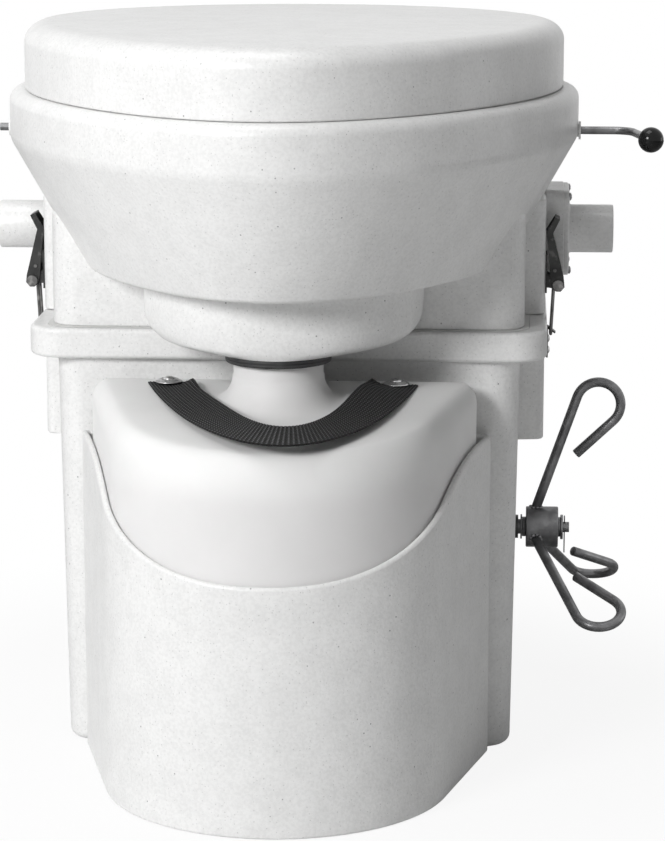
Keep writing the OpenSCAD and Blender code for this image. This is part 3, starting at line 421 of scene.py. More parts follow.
@dataclass(frozen=True)
class Webbing:
    """Black woven nylon, the crown of each thread painted greyer as a highlight over the black of
    its dip.
    """

    name: str
    rib: float = RIB_PITCH
    cord: float = CORD_PITCH
    tint: Colour = (0.002, 0.002, 0.002)
    # Painted highlight: the grey that the threads' crowns get in place of light caught on them.
    painted_crown_highlight: Colour = (0.17, 0.17, 0.174)

    def build(self) -> bpy.types.Material:
        """Makes the material, whose threads follow the piece's own map in metres.

        Returns:
            The material.
        """
        shader = Shader(self.name)
        along = shader.node("ShaderNodeUVMap", {"uv_map": "weave"}).outputs["UV"]
        apart = shader.node("ShaderNodeSeparateXYZ", None, {"Vector": along})
        length = Value(shader, apart.outputs["X"])
        width = Value(shader, apart.outputs["Y"])

        def wave(value: Value, pitch: float) -> Value:
            """A cosine of that pitch, in millimetres."""
            return (value * (math.tau * 1000 / pitch)).cosine()

        ribs = wave(length, self.rib)
        cords = wave(width, self.cord)
        thread = wave(length + width, 0.55) * 0.5 + wave(length - width, 0.6) * 0.5
        # Painted highlight: where ribs and cords peak the colour turns greyer, standing in for
        # glints on the threads' crowns.
        painted_crown_highlight = (ribs * 0.5 + cords * 0.5).ramp(0.3, 1.0)
        fuzz = shader.noise(2600, 3).ramp(0.3, 0.7)
        return shader.close(
            {
                "Base Color": shader.mix(painted_crown_highlight * (0.5 + fuzz * 0.5), self.tint, self.painted_crown_highlight),
                "Roughness": 0.5 + fuzz * 0.25,
                "Specular IOR Level": 0.22,
                "Normal": shader.bump(thread + fuzz * 0.8, 0.00009),
                "Sheen Weight": 0.03,
                "Sheen Roughness": 0.4,
            }
        )


Finish = Union[SpeckledPlastic, SmoothPlastic, Metal, Rubber, BallGloss, Webbing]

FINISHES: dict[str, Finish] = {
    "shell": SpeckledPlastic("speckled_shell"),
    "cradle": SpeckledPlastic("speckled_cradle", roughness=0.44, peel=0.0002),
    "liner": SmoothPlastic("moulded_liner", (0.8, 0.8, 0.79), (0.72, 0.72, 0.71), 0.28, 0.3),
    "seat_white": SmoothPlastic("seat_gloss", (0.84, 0.84, 0.83), (0.78, 0.78, 0.77), 0.22, 0.4),
    "bottle_plastic": SmoothPlastic(
        "milky_bottle", (0.8, 0.8, 0.795), (0.76, 0.76, 0.755), 0.6, 0.0, 0.3
    ),
    "rubber": Rubber("black_rubber"),
    "pale_seal": Rubber("silicone_seal", (0.66, 0.66, 0.65), (0.74, 0.74, 0.73)),
    "dark_steel": Metal(
        "dark_steel", (0.2, 0.2, 0.204), (0.13, 0.13, 0.133), (0.3, 0.3, 0.3), 0.3, 0.8, 0.2,
        depth=0.00002,
    ),
    "latch_steel": Metal(
        "worn_latch_steel", (0.035, 0.035, 0.034), (0.014, 0.014, 0.014), (0.16, 0.158, 0.155),
        0.36, 0.35, 0.45, (140, 140, 20), 0.00005,
    ),
    "bail_wire": Metal(
        "bail_wire", (0.2, 0.197, 0.194), (0.1, 0.099, 0.098), (0.4, 0.39, 0.38), 0.32, 0.85, 0.45,
    ),
    "stainless": Metal(
        "bright_steel", (0.6, 0.6, 0.6), (0.42, 0.42, 0.42), (0.7, 0.7, 0.7), 0.22, 1.0, 0.3
    ),
    "dark_plastic": SmoothPlastic(
        "black_plastic", (0.03, 0.03, 0.03), (0.05, 0.05, 0.05), 0.42, 0.1
    ),
    "knob_black": BallGloss("ball_gloss"),
    "webbing": Webbing("woven_webbing"),
}


class Wardrobe:
    """Builds each finish once."""

    def __init__(self) -> None:
        """Starts with nothing built."""
        self.built: dict[str, bpy.types.Material] = {}

    def material(self, key: str) -> bpy.types.Material:
        """Gives a finish's material, which is built the first time.

        Args:
            key: a key of FINISHES.

        Returns:
            The material.
        """
        if key not in self.built:
            self.built[key] = FINISHES[key].build()
        return self.built[key]


WARDROBE = Wardrobe()


# ---- plans and profiles -----------------------------------------------------------------------


def turns(count: int, first: float = 0.0) -> list[float]:
    """Even angles round a circle, in radians, the first of them that share of a step in."""
    return [math.tau * (step + first) / count for step in range(count)]


def steps_to(end: float, steps: int) -> list[float]:
    """Even steps from 0 to a value, both ends among them."""
    return [end * step / steps for step in range(steps + 1)]


def signed_power(value: float, power: float) -> float:
    """Raises a value's size to a power and keeps its sign."""
    return math.copysign(abs(value) ** power, value)


@dataclass(frozen=True)
class EggPlan:
    """Plan that band, lid, seat and bowl share: an oval that narrows towards the front."""

    half_w: float = 220
    front: float = 252
    back: float = 256
    widest: float = 56
    taper: float = 0.19

    def ring(self, inset: float, z: float, count: int = 180) -> Ring:
        """The plan as a level ring.

        Args:
            inset: how far it is set in.
            z: its height.
            count: its points.

        Returns:
            The ring, from the right round the back.
        """
        points = []
        for angle in turns(count):
            sine = math.sin(angle)
            narrow = 1 - self.taper * sine * sine if sine < 0 else 1.0
            reach = (self.front + self.widest if sine < 0 else self.back - self.widest) - inset
            x = (self.half_w - inset) * narrow * math.cos(angle)
            points.append((x, self.widest + reach * sine, z))
        return points


EGG = EggPlan()


def circle(radius: float, y: float, z: float, count: int) -> Ring:
    """A level circle about a point of the middle plane."""
    return [(radius * math.cos(a), y + radius * math.sin(a), z) for a in turns(count)]


def tilted_circle(at: Vector, across: Vector, other: Vector, count: int) -> Ring:
    """A circle about a point, given two of its radii that are square to each other."""
    return [tuple(at + across * math.cos(a) + other * math.sin(a)) for a in turns(count)]


def rounded_rect(
    half_w: float, front: float, back: float, radius: float, z: float, steps: int = 9
) -> Ring:
    """A level rectangle with round corners.

    Args:
        half_w: half its width.
        front: how far it reaches ahead of the origin.
        back: how far it reaches behind the origin.
        radius: radius of its corners.
        z: its height.
        steps: segments in each corner.

    Returns:
        The ring, from the right round the back.
    """
    points = []
    for corner in range(4):
        side = 1 if corner in (0, 3) else -1
        mid = (side * (half_w - radius), back - radius if corner < 2 else -front + radius)
        for step in range(steps + 1):
            angle = math.pi / 2 * (corner + step / steps)
            points.append(
                (mid[0] + radius * math.cos(angle), mid[1] + radius * math.sin(angle), z)
            )
    return points


def filleted(
    corners: Sequence[tuple[float, float, float]], closed: bool = False, steps: int = 5
) -> Profile:
    """Rounds the corners of a profile.

    Args:
        corners: each corner's two coordinates and its radius.
        closed: whether the last corner joins the first.
        steps: segments in each rounding.

    Returns:
        The profile's points.
    """
    count = len(corners)
    points: Profile = []
    for index, (a, b, radius) in enumerate(corners):
        at_end = not closed and index in (0, count - 1)
        if radius <= 0 or at_end:
            points.append((a, b))
            continue
        corner = Vector((a, b))
        before = Vector(corners[index - 1][:2]) - corner
        after = Vector(corners[(index + 1) % count][:2]) - corner
        half = before.angle(after) / 2
        if half > math.pi / 2 - 0.01:
            points.append((a, b))
            continue
        run = min(radius / math.tan(half), 0.49 * before.length, 0.49 * after.length)
        radius = run * math.tan(half)
        before.normalize()
        after.normalize()
        middle = corner + (before + after).normalized() * (radius / math.sin(half))
        first = corner + before * run - middle
        last = corner + after * run - middle
        sweep = math.atan2(first.x * last.y - first.y * last.x, first.dot(last))
        for step in range(steps + 1):
            turn = Matrix.Rotation(sweep * step / steps, 2)
            point = middle + turn @ first
            points.append((point.x, point.y))
    return points


@dataclass(frozen=True)
class CradlePlan:
    """Plan of cradle and bottle: a round front, straight sides tangent to it, a flat back."""

    radius: float = 130
    middle: float = 134
    half_w: float = 158
    neck: float = 46
    outlet: float = 120
    front_steps: int = 84
    corner_steps: int = 9
    side_steps: int = 6

    @property
    def lean(self) -> float:
        """Angle of the sides, in radians.

        Returns:
            The angle.
        """
        away = self.middle - self.neck
        side = math.hypot(self.half_w, away)
        return math.atan2(away, self.half_w) - math.acos(self.radius / side)

    def ring(
        self,
        inset: float,
        back: float,
        corner: float,
        height: Callable[[float, float], float],
        back_steps: int = 11,
    ) -> Ring:
        """The plan as a ring.

        Args:
            inset: how far front and sides are set in.
            back: distance of the flat back ahead of the origin.
            corner: radius of the two back corners.
            height: the height over a point of the plan.
            back_steps: points along the back, at even angles about the outlet.

        Returns:
            The ring, from the right back corner round the back and the front.
        """
        lean = self.lean
        y = self.middle - back - corner
        x = (self.radius - inset - corner - y * math.sin(lean)) / math.cos(lean)
        right = []
        for step in range(self.corner_steps):
            angle = lean + (math.pi / 2 - lean) * step / (self.corner_steps - 1)
            right.append(
                (x + corner * math.cos(angle), y - self.middle + corner * math.sin(angle))
            )
        last = right[-1]
        depth = last[1] + self.outlet
        start = math.atan2(depth, last[0])
        rear = [
            (depth / math.tan(start + (math.pi - 2 * start) * i / (back_steps + 1)), last[1])
            for i in range(1, back_steps + 1)
        ]
        front = []
        for step in range(self.front_steps):
            share = step / (self.front_steps - 1)
            angle = lean + math.pi - 2 * lean + (math.pi + 2 * lean) * share
            reach = self.radius - inset
            front.append((reach * math.cos(angle), -self.middle + reach * math.sin(angle)))
        p, q = front[-1], right[0]
        gaps = self.side_steps + 1
        side = [tuple(a + (b - a) * i / gaps for a, b in zip(p, q)) for i in range(1, gaps)]
        plan = right + rear
        plan += [(-a, b) for a, b in reversed(right)]
        plan += [(-a, b) for a, b in reversed(side)]
        plan += front + side
        return [(a, b, height(a, b)) for a, b in plan]


POT = CradlePlan()


def smooth_rows(rows: Sequence[Sequence[float]], steps: int) -> list[list[float]]:
    """Runs a smooth curve through rows of numbers.

    Args:
        rows: the rows that it passes through.
        steps: steps between two rows.

    Returns:
        The rows on the curve, the given ones among them.
    """
    found = []
    for index in range(len(rows) - 1):
        a = rows[max(0, index - 1)]
        b, c = rows[index], rows[index + 1]
        d = rows[min(len(rows) - 1, index + 2)]
        for step in range(steps):
            t = step / steps
            found.append(
                [
                    0.5 * (2 * q + (r - p) * t + (2 * p - 5 * q + 4 * r - s) * t * t
                           + (3 * q - p - 3 * r + s) * t ** 3)
                    for p, q, r, s in zip(a, b, c, d)
                ]
            )
    return found + [list(rows[-1])]


# ---- meshes -----------------------------------------------------------------------------------


class Axis(Enum):
    """The way a turned piece's height runs."""

    X = Matrix.Rotation(math.pi / 2, 4, "Y")
    MINUS_X = Matrix.Rotation(-math.pi / 2, 4, "Y")
    Y = Matrix.Rotation(-math.pi / 2, 4, "X")
    Z = Matrix.Identity(4)


class Edges(Enum):
    """The angle between faces, in degrees, above which a piece shows an edge."""

    CRISP = 38.0
    BAR = 45.0
    MOULDED = 50.0
    BROAD = 55.0
    FINE = 60.0


class Cut(Enum):
    """What a second shape does to the first."""

    ADD = "UNION"
    TAKE = "DIFFERENCE"


def in_scene(name: str, data: bpy.types.ID) -> bpy.types.Object:
    """Makes an object and links it to the scene.

    Args:
        name: the object's name.
        data: its mesh, lamp or camera.

    Returns:
        The object.
    """
    obj = bpy.data.objects.new(name, data)
    bpy.context.scene.collection.objects.link(obj)
    return obj


def edges_of(verts: Sequence[bmesh.types.BMVert]) -> list[bmesh.types.BMEdge]:
    """The edges of vertices, each once, in the same order each run."""
    return list(dict.fromkeys(e for v in verts for e in v.link_edges))


class Form:
    """A mesh in the making, in millimetres, shaped by bmesh operators."""

    def __init__(self) -> None:
        """Starts with an empty mesh."""
        self.bm = bmesh.new()

    def _since(self, before: set[bmesh.types.BMVert]) -> list[bmesh.types.BMVert]:
        """The vertices made after that set was taken."""
        return [v for v in self.bm.verts if v not in before]

    def loft(self, rings: Sequence[Ring], closed: bool = False) -> "Form":
        """Extrudes a circle through rings of equally many points.

        Args:
            rings: the rings in order.
            closed: joins the last ring to the first; otherwise both ends are capped.

        Returns:
            This form.
        """
        first = bmesh.ops.create_circle(self.bm, radius=1, segments=len(rings[0]))["verts"]
        current = list(first)
        edges = edges_of(current)
        for vert, point in zip(current, rings[0]):
            vert.co = point
        open_edges = list(edges)
        for ring in [*rings[1:], *([rings[0]] if closed else [])]:
            made = bmesh.ops.extrude_edge_only(self.bm, edges=edges)["geom"]
            old = set(current)
            partner = {}
            for vert in (g for g in made if isinstance(g, bmesh.types.BMVert)):
                for edge in vert.link_edges:
                    other = edge.other_vert(vert)
                    if other in old:
                        partner[other] = vert
            current = [partner[v] for v in current]
            new = set(current)
            edges = [
                g
                for g in made
                if isinstance(g, bmesh.types.BMEdge) and g.verts[0] in new and g.verts[1] in new
            ]
            for vert, point in zip(current, ring):
                vert.co = point
        if closed:
            bmesh.ops.remove_doubles(self.bm, verts=[*first, *current], dist=1e-4)
        else:
            bmesh.ops.holes_fill(self.bm, edges=[*open_edges, *edges], sides=0)
        return self

    def lathe(
        self,
        profile: Profile,
        axis: Axis = Axis.Z,
        centre: Point = (0, 0, 0),
        segments: int = 64,
        closed: bool = False,
    ) -> "Form":
        """Spins a profile of (radius, height) about an axis.

        Args:
            profile: the points in order.
            axis: the way the heights run.
            centre: where the axis and height 0 are.
            segments: steps round.
            closed: whether the profile joins up with itself.

        Returns:
            This form.
        """
        before = set(self.bm.verts)
        verts = [self.bm.verts.new((r, 0, h)) for r, h in profile]
        pairs = list(zip(verts, verts[1:])) + ([(verts[-1], verts[0])] if closed else [])
        edges = [self.bm.edges.new(pair) for pair in pairs]
        bmesh.ops.spin(
            self.bm, geom=verts + edges, cent=(0, 0, 0), axis=(0, 0, 1), angle=math.tau,
            steps=segments, use_merge=True, use_duplicate=False,
        )
        bmesh.ops.remove_doubles(self.bm, verts=self._since(before), dist=1e-3)
        bmesh.ops.transform(
            self.bm, matrix=Matrix.Translation(centre) @ axis.value, verts=self._since(before)
        )
        return self

    def plug(
        self, radius: float, length: float, axis: Axis, foot: Point, segments: int
    ) -> "Form":
        """A plain cylinder that stands on its foot, for a bore."""
        profile = [(0, 0), (radius, 0), (radius, length), (0, length)]
        return self.lathe(profile, axis, foot, segments)

    def tube(self, path: Sequence[Point], radius: float, sides: int = 20) -> "Form":
        """Sweeps a round bar along a path, its two ends cut square with a small chamfer.

        Args:
            path: the points of its middle line.
            radius: half its thickness.
            sides: flats round it.

        Returns:
            This form.
        """
        points = [Vector(p) for p in path]
        runs = [(b - a).normalized() for a, b in zip(points, points[1:])]
        tangents = [runs[0]]
        tangents += [(a + b).normalized() for a, b in zip(runs, runs[1:])]
        tangents.append(runs[-1])
        across = tangents[0].orthogonal().normalized()
        rings = []
        chamfer = radius * 0.12
        ends = {
            0: ((0, radius - chamfer), (chamfer, radius)),
            len(points) - 1: ((-chamfer, radius), (0, radius - chamfer)),
        }
        for index, (point, tangent) in enumerate(zip(points, tangents)):
            if index:
                across = tangents[index - 1].rotation_difference(tangent) @ across
            across = (across - tangent * across.dot(tangent)).normalized()
            other = tangent.cross(across)
            for shift, size in ends.get(index, ((0, radius),)):
                at = point + tangent * shift
                rings.append(tilted_circle(at, across * size, other * size, sides))
        return self.loft(rings)

    def block(self, low: Point, high: Point, rounding: float = 0.0, segments: int = 3) -> "Form":
        """A box between two corners.

        Args:
            low: its lowest corner.
            high: its highest corner.
            rounding: radius of all its edges, 0 for sharp ones.
            segments: segments in each rounding.

        Returns:
            This form.
        """
        verts = bmesh.ops.create_cube(self.bm, size=1)["verts"]
        size = Vector(high) - Vector(low)
        middle = (Vector(high) + Vector(low)) / 2
        bmesh.ops.scale(self.bm, vec=size, verts=verts)
        bmesh.ops.translate(self.bm, vec=middle, verts=verts)
        if rounding:
            self.bevel(edges_of(verts), rounding, segments)
        return self

    def bevel(self, edges: list[bmesh.types.BMEdge], size: float, segments: int) -> "Form":
        """Rounds edges."""
        bmesh.ops.bevel(
            self.bm, geom=edges, offset=size, offset_type="OFFSET", segments=segments,
            profile=0.5, affect="EDGES", clamp_overlap=True, material=-1,
        )
        return self

    def turn(self, angle: float, axis: str, centre: Point, since: int = 0) -> "Form":
        """Turns the form, or the last part of it.

        Args:
            angle: how far, in degrees.
            axis: X, Y or Z.
            centre: the point that stays.
            since: the number of vertices that there were before that part.

        Returns:
            This form.
        """
        self.bm.verts.ensure_lookup_table()
        bmesh.ops.rotate(
            self.bm, cent=centre, matrix=Matrix.Rotation(math.radians(angle), 3, axis),
            verts=self.bm.verts[since:],
        )
        return self

    def mirrored(self) -> "Form":
        """Adds the mirror image in x."""
        bmesh.ops.mirror(
            self.bm, geom=[*self.bm.verts, *self.bm.edges, *self.bm.faces], axis="X",
            merge_dist=-1,
        )
        return self

    def finish(self, name: str, edges: Edges = Edges.CRISP) -> bpy.types.Object:
        """Makes the object.

        Args:
            name: the piece's name.
            edges: how sharply faces have to meet for an edge to show.

        Returns:
            The object, at the origin, with its mesh in metres.
        """
        bmesh.ops.scale(self.bm, vec=(MM, MM, MM), verts=self.bm.verts)
        bmesh.ops.recalc_face_normals(self.bm, faces=self.bm.faces)
        mesh = bpy.data.meshes.new(name)
        self.bm.to_mesh(mesh)
        self.bm.free()
        mesh.shade_smooth()
        mesh.set_sharp_from_angle(angle=math.radians(edges.value))
        return in_scene(name, mesh)


def combine(target: bpy.types.Object, how: Cut, others: Sequence[bpy.types.Object]) -> None:
    """Adds shapes to a piece, or takes them away from it, and removes them.

    Args:
        target: the piece that changes.
        how: add or take.
        others: the shapes, which go away.
    """
    for other in others:
        cut = target.modifiers.new(other.name, "BOOLEAN")
        cut.operation = how.value
        cut.solver = "EXACT"
        cut.object = other
    bpy.context.view_layer.update()
    made = target.evaluated_get(bpy.context.evaluated_depsgraph_get())
    mesh = bpy.data.meshes.new_from_object(made)
    target.modifiers.clear()
    target.data = mesh
    for other in others:
        bpy.data.objects.remove(other)


def even(obj: bpy.types.Object, edges: Edges = Edges.CRISP) -> bpy.types.Object:
    """Lets the large faces lead the shading, so that flats stay flat beside their roundings.

    Args:
        obj: the piece.
        edges: how sharply faces have to meet for an edge to show.

    Returns:
        The piece.
    """
    obj.data.shade_smooth()
    obj.data.set_sharp_from_angle(angle=math.radians(edges.value))
    weighted = obj.modifiers.new("even_shading", "WEIGHTED_NORMAL")
    weighted.keep_sharp = True
    weighted.weight = 60
    return obj


def dress(
    obj: bpy.types.Object, body: str, slot: str, *nodes: str, finish: Optional[str] = None
) -> bpy.types.Object:
    """Gives a piece its finish, body and place among the CAD nodes, and reports it.

    Args:
        obj: the piece.
        body: the CAD body that it rides on.
        slot: the key of its finish in FINISHES, unless a finish is named.
        nodes: the CAD nodes that it stands for.
        finish: a key of FINISHES.

    Returns:
        The piece.
    """
    obj.data.materials.clear()
    obj.data.materials.append(WARDROBE.material(finish or slot))
    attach(obj, body)
    if nodes:
        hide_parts(*nodes)
    log.info("%s rides on %s in %s, %d faces", obj.name, body, slot, len(obj.data.polygons))
    return obj


# ---- base -------------------------------------------------------------------------------------


@dataclass
class Base:
    """The solids bin with its flange, seal groove and side pads."""

    height: float = 329
    flange_h: float = 23
    half_w: float = 177
    neck_half_w: float = 180
    front: float = 46
    back: float = 205
    corner: float = 22
    flange_over: float = 9
    flange_side: float = 17.5
    flange_r: float = 27
    tighten: float = 0.8
    draft: float = 4.5
    wall: float = 5
    foot_r: float = 7
    seal_in: float = 3
    seal_w: float = 6
    seal_d: float = 4
    pad_face: float = 196
    pad_h: float = 76
    pad_front: float = 28
    pad_back: float = 150
    pad_r: float = 7
    pad_edge: float = 2
    shaft: tuple[float, float] = (96, 143.5)
    shaft_hole: float = 8
    bore_x: float = 163
    bore_l: float = 20

    def bin_ring(self, inset: float, z: float) -> Ring:
        """The bin's plan at a height, set in by a distance."""
        lean = self.draft * (1 - z / (self.height - self.flange_h))
        return rounded_rect(
            self.half_w - lean - inset, self.front - inset, self.back - lean - inset,
            self.corner - inset * self.tighten, z,
        )

    def flange_ring(self, inset: float, z: float) -> Ring:
        """The flange's plan."""
        over = self.flange_over - inset
        return rounded_rect(
            self.neck_half_w + self.flange_side - inset, self.front + over, self.back + over,
            self.flange_r - inset * self.tighten, z,
        )

    def seal_ring(self, out: float, z: float) -> Ring:
        """The seal groove's plan, set out from the opening."""
        reach = out - self.wall
        return rounded_rect(
            self.neck_half_w + reach, self.front + reach, self.back + reach, self.corner, z
        )

    def pad(self, z0: float, z1: float, x0: float) -> bpy.types.Object:
        """A side pad on both sides, with round outer corners and softened edges.

        Args:
            z0: its underside.
            z1: its upper side.
            x0: its inner side, which stays sharp inside the wall.

        Returns:
            Both pads as one piece.
        """
        form = Form().block((x0, self.pad_front, z0), (self.pad_face, self.pad_back, z1))
        upright = [
            e for e in form.bm.edges
            if all(abs(v.co.x - self.pad_face) < 0.01 for v in e.verts)
            and abs(e.verts[0].co.z - e.verts[1].co.z) > 1
        ]
        form.bevel(upright, self.pad_r, 6)
        outer = [
            e for e in form.bm.edges
            if all(v.co.x > x0 + 0.01 for v in e.verts) and e.calc_face_angle(0) > 1
        ]
        form.bevel(outer, self.pad_edge, 3)
        return form.mirrored().finish("pads")

    def shell(self) -> bpy.types.Object:
        """The bin's moulding.

        Returns:
            The piece.
        """
        top, flange_z, seat_z = self.height, self.height - self.flange_h, self.height - self.seal_d
        inner, outer = self.seal_in, self.seal_in + self.seal_w
        outside = filleted([(30, 0, 0), (0, 0, self.foot_r), (0, flange_z - 5, 0)], steps=6)
        rings = [self.bin_ring(inset, z) for inset, z in outside]
        rings += [self.bin_ring(0, flange_z - 2)]
        lip = filleted([(9, flange_z, 0), (0, flange_z, 3.5), (0, top, 3.2), (8, top, 0)])
        rings += [self.flange_ring(inset, z) for inset, z in lip]
        groove = filleted(
            [
                (outer + 0.6, top, 0), (outer, top, 0.6), (outer, seat_z, 0.4),
                (inner, seat_z, 0.4), (inner, top, 0.6), (0, top, 1.2), (0, top - 12, 0),
            ],
            steps=3,
        )
        rings += [self.seal_ring(out, z) for out, z in groove]
        wall = self.wall
        inside = filleted([(wall, flange_z, 0), (wall, wall, 6), (40, wall, 0)])
        rings += [self.bin_ring(inset, z) for inset, z in inside]
        body = Form().loft(rings).finish("base_shell")
        pads = self.pad(flange_z - self.pad_h, flange_z + 1, self.half_w - wall + 0.5)
        combine(body, Cut.ADD, [pads])
        bore = Form()
        for axis, side in ((Axis.X, 1), (Axis.MINUS_X, -1)):
            bore.plug(self.shaft_hole, self.bore_l, axis, (side * self.bore_x, *self.shaft), 48)
        combine(body, Cut.TAKE, [bore.finish("bore")])
        return even(body)

    def build(self) -> None:
        """Makes and places the piece."""
        dress(self.shell(), "base", "shell", "base_bin")


@dataclass
class Cradle:
    """The open cradle in front of the bin, with its scalloped rim and the bottle's shelf."""

    wall: float = 5
    back: float = 46.3
    low: float = 184
    high: float = 250
    shelf: float = 60
    corner: float = 7
    horn: float = 118
    power: float = 1.22
    slack: float = 0.25
    back_steps: int = 3

    def rim(self, x: float, y: float) -> float:
        """Height of the rim over a point of the plan."""
        share = min(1.0, math.degrees(math.atan2(abs(x), -y - POT.middle)) / self.horn)
        return self.low + (self.high - self.low) * (1 - math.cos(math.pi * share ** self.power)) / 2

    def ring(self, inset: float, back_in: float, height: Callable[[float, float], float]) -> Ring:
        """The cradle's plan, set in by one distance round the front and another at the back."""
        return POT.ring(
            inset + self.slack, self.back + back_in, self.corner - inset, height, self.back_steps
        )

    def level(self, inset: float, back_in: float, z: float) -> Ring:
        """A level ring of the cradle."""
        return self.ring(inset, back_in, lambda x, y: z)

    def edge(self, inset: float, drop: float, share: float = 1.0) -> Ring:
        """A ring that follows the rim.

        Args:
            inset: how far it is set in.
            drop: how far it lies below the rim.
            share: the share of the rim's rise above the shelf that it follows.

        Returns:
            The ring.
        """

        def height(x: float, y: float) -> float:
            """The ring's height over a point of the plan."""
            return self.shelf + (self.rim(x, y) - self.shelf) * share - drop

        return self.ring(inset, inset, height)

    def shell(self) -> bpy.types.Object:
        """The cradle's moulding.

        Returns:
            The piece.
        """
        wall, half = self.wall, self.wall / 2
        foot = filleted([(wall, 0, 0), (0, 0, 3), (0, 12, 0)])
        rings = [self.level(wall, wall, self.shelf - wall), self.level(wall, wall, 0.6)]
        rings += [self.level(inset, 0, z) for inset, z in foot]
        rings += [self.edge(0, 0, share) for share in (0.02, 0.35, 0.7, 0.94)]
        for angle in steps_to(math.pi, 8):
            rings.append(
                self.edge(half * (1 - math.cos(angle)), half * 1.15 * (1 - math.sin(angle)))
            )
        rings += [self.edge(wall, 0, share) for share in (0.94, 0.7, 0.35, 0.04)]
        body = Form().loft([*rings, self.level(wall + 1.2, wall + 1.2, self.shelf)])
        return even(body.finish("cradle_shell"), Edges.BROAD)

    def build(self) -> None:
        """Makes and places the piece."""
        dress(self.shell(), "base", "shell", "bottle_cradle", finish="cradle")


# ---- top --------------------------------------------------------------------------------------


@dataclass
class Housing:
    """The tilting top: rim band, tapered part, neck column and the side pads."""

    under: float = 373
    crease: float = 468
    deck: float = 505
    slope: float = 0.565
    wall: float = 4.5
    skin: float = 5.1
    deck_t: float = 6
    deck_w: float = 30
    outlet: float = 120
    drain_hole: float = 13.3
    lever: tuple[float, float] = (38, 472)
    lever_hole: float = 5.05
    vent: tuple[float, float] = (95, 388)
    fan_hole: float = 28
    spigot_hole: float = 18.25
    lever_bore: tuple[float, float] = (160, 62)
    vent_bore: tuple[float, float] = (120, 77)
    foot: float = 329.3
    shoulder: float = 415
    pad_top: float = 419
    base: Base = field(default_factory=Base)

    def flare(self, z: float) -> float:
        """How far the taper is set in at a height."""
        return self.slope * (self.crease - z)

    def neck(self, inset: float, z: float) -> Ring:
        """The neck column's plan."""
        base = self.base
        return rounded_rect(
            base.neck_half_w - inset, base.front - min(inset, self.wall), base.back - inset,
            base.corner - min(inset, self.wall), z,
        )

    def band(self) -> bpy.types.Object:
        """Taper and band as one solid.

        Returns:
            The piece.
        """
        edge = self.flare(self.under)
        profile = filleted(
            [
                (edge + 26, self.under, 0), (edge, self.under, 6), (0, self.crease, 16),
                (0, self.deck, 9), (26, self.deck, 0),
            ],
            steps=7,
        )
        return Form().loft([EGG.ring(inset, z) for inset, z in profile]).finish("housing_shell")

    def column(self) -> bpy.types.Object:
        """The neck as a solid with a sloping shoulder.

        Returns:
            The piece.
        """
        foot, shoulder = self.foot, self.shoulder
        profile = filleted(
            [(1.2, foot, 0), (0, foot + 1.2, 0), (0, shoulder, 9), (40, shoulder + 40, 0)]
        )
        return Form().loft([self.neck(inset, z) for inset, z in profile]).finish("neck")

    def hollows(self) -> list[bpy.types.Object]:
        """What is taken away: the inside, the deck's opening and the bores.

        Returns:
            The shapes, the hollow of the band first.
        """
        wall, under, crease, deck = self.wall, self.under, self.crease, self.deck
        inner = [
            (self.flare(under + wall) + self.skin, under + wall), (self.skin, crease),
            (wall, crease + 4), (wall, deck - self.deck_t),
        ]
        shoulder = self.shoulder - 1.8
        column = [(wall, self.foot - 1.3), (wall, shoulder), (40, shoulder + 40 - wall)]
        mouth = filleted(
            [
                (self.deck_w + 1, deck - 8, 0), (self.deck_w, deck - 7.5, 0),
                (self.deck_w, deck + 2, 0),
            ]
        )
        shapes = [
            Form().loft(rings).finish(name)
            for name, rings in (
                ("hollow", [EGG.ring(inset, z, 120) for inset, z in inner]),
                ("neck_hollow", [self.neck(inset, z) for inset, z in column]),
                ("opening", [EGG.ring(inset, z, 120) for inset, z in mouth]),
            )
        ]
        bores = Form().plug(self.drain_hole, 6.5, Axis.Z, (0, -self.outlet, under - 1), 48)
        sides = ((Axis.X, 1, self.fan_hole), (Axis.MINUS_X, -1, self.spigot_hole))
        for axis, side, vent_hole in sides:
            for hole, (start, length), place, segments in (
                (self.lever_hole, self.lever_bore, self.lever, 32),
                (vent_hole, self.vent_bore, self.vent, 64),
            ):
                bores.plug(hole, length, axis, (side * start, *place), segments)
        return [*shapes, bores.finish("bores")]

    def build(self) -> None:
        """Makes and places the piece."""
        body = self.band()
        pads = self.base.pad(self.foot + 0.1, self.pad_top, self.base.neck_half_w - 2.2)
        combine(body, Cut.ADD, [self.column(), pads])
        combine(body, Cut.TAKE, self.hollows())
        dress(even(body), "top", "shell", "top_housing")


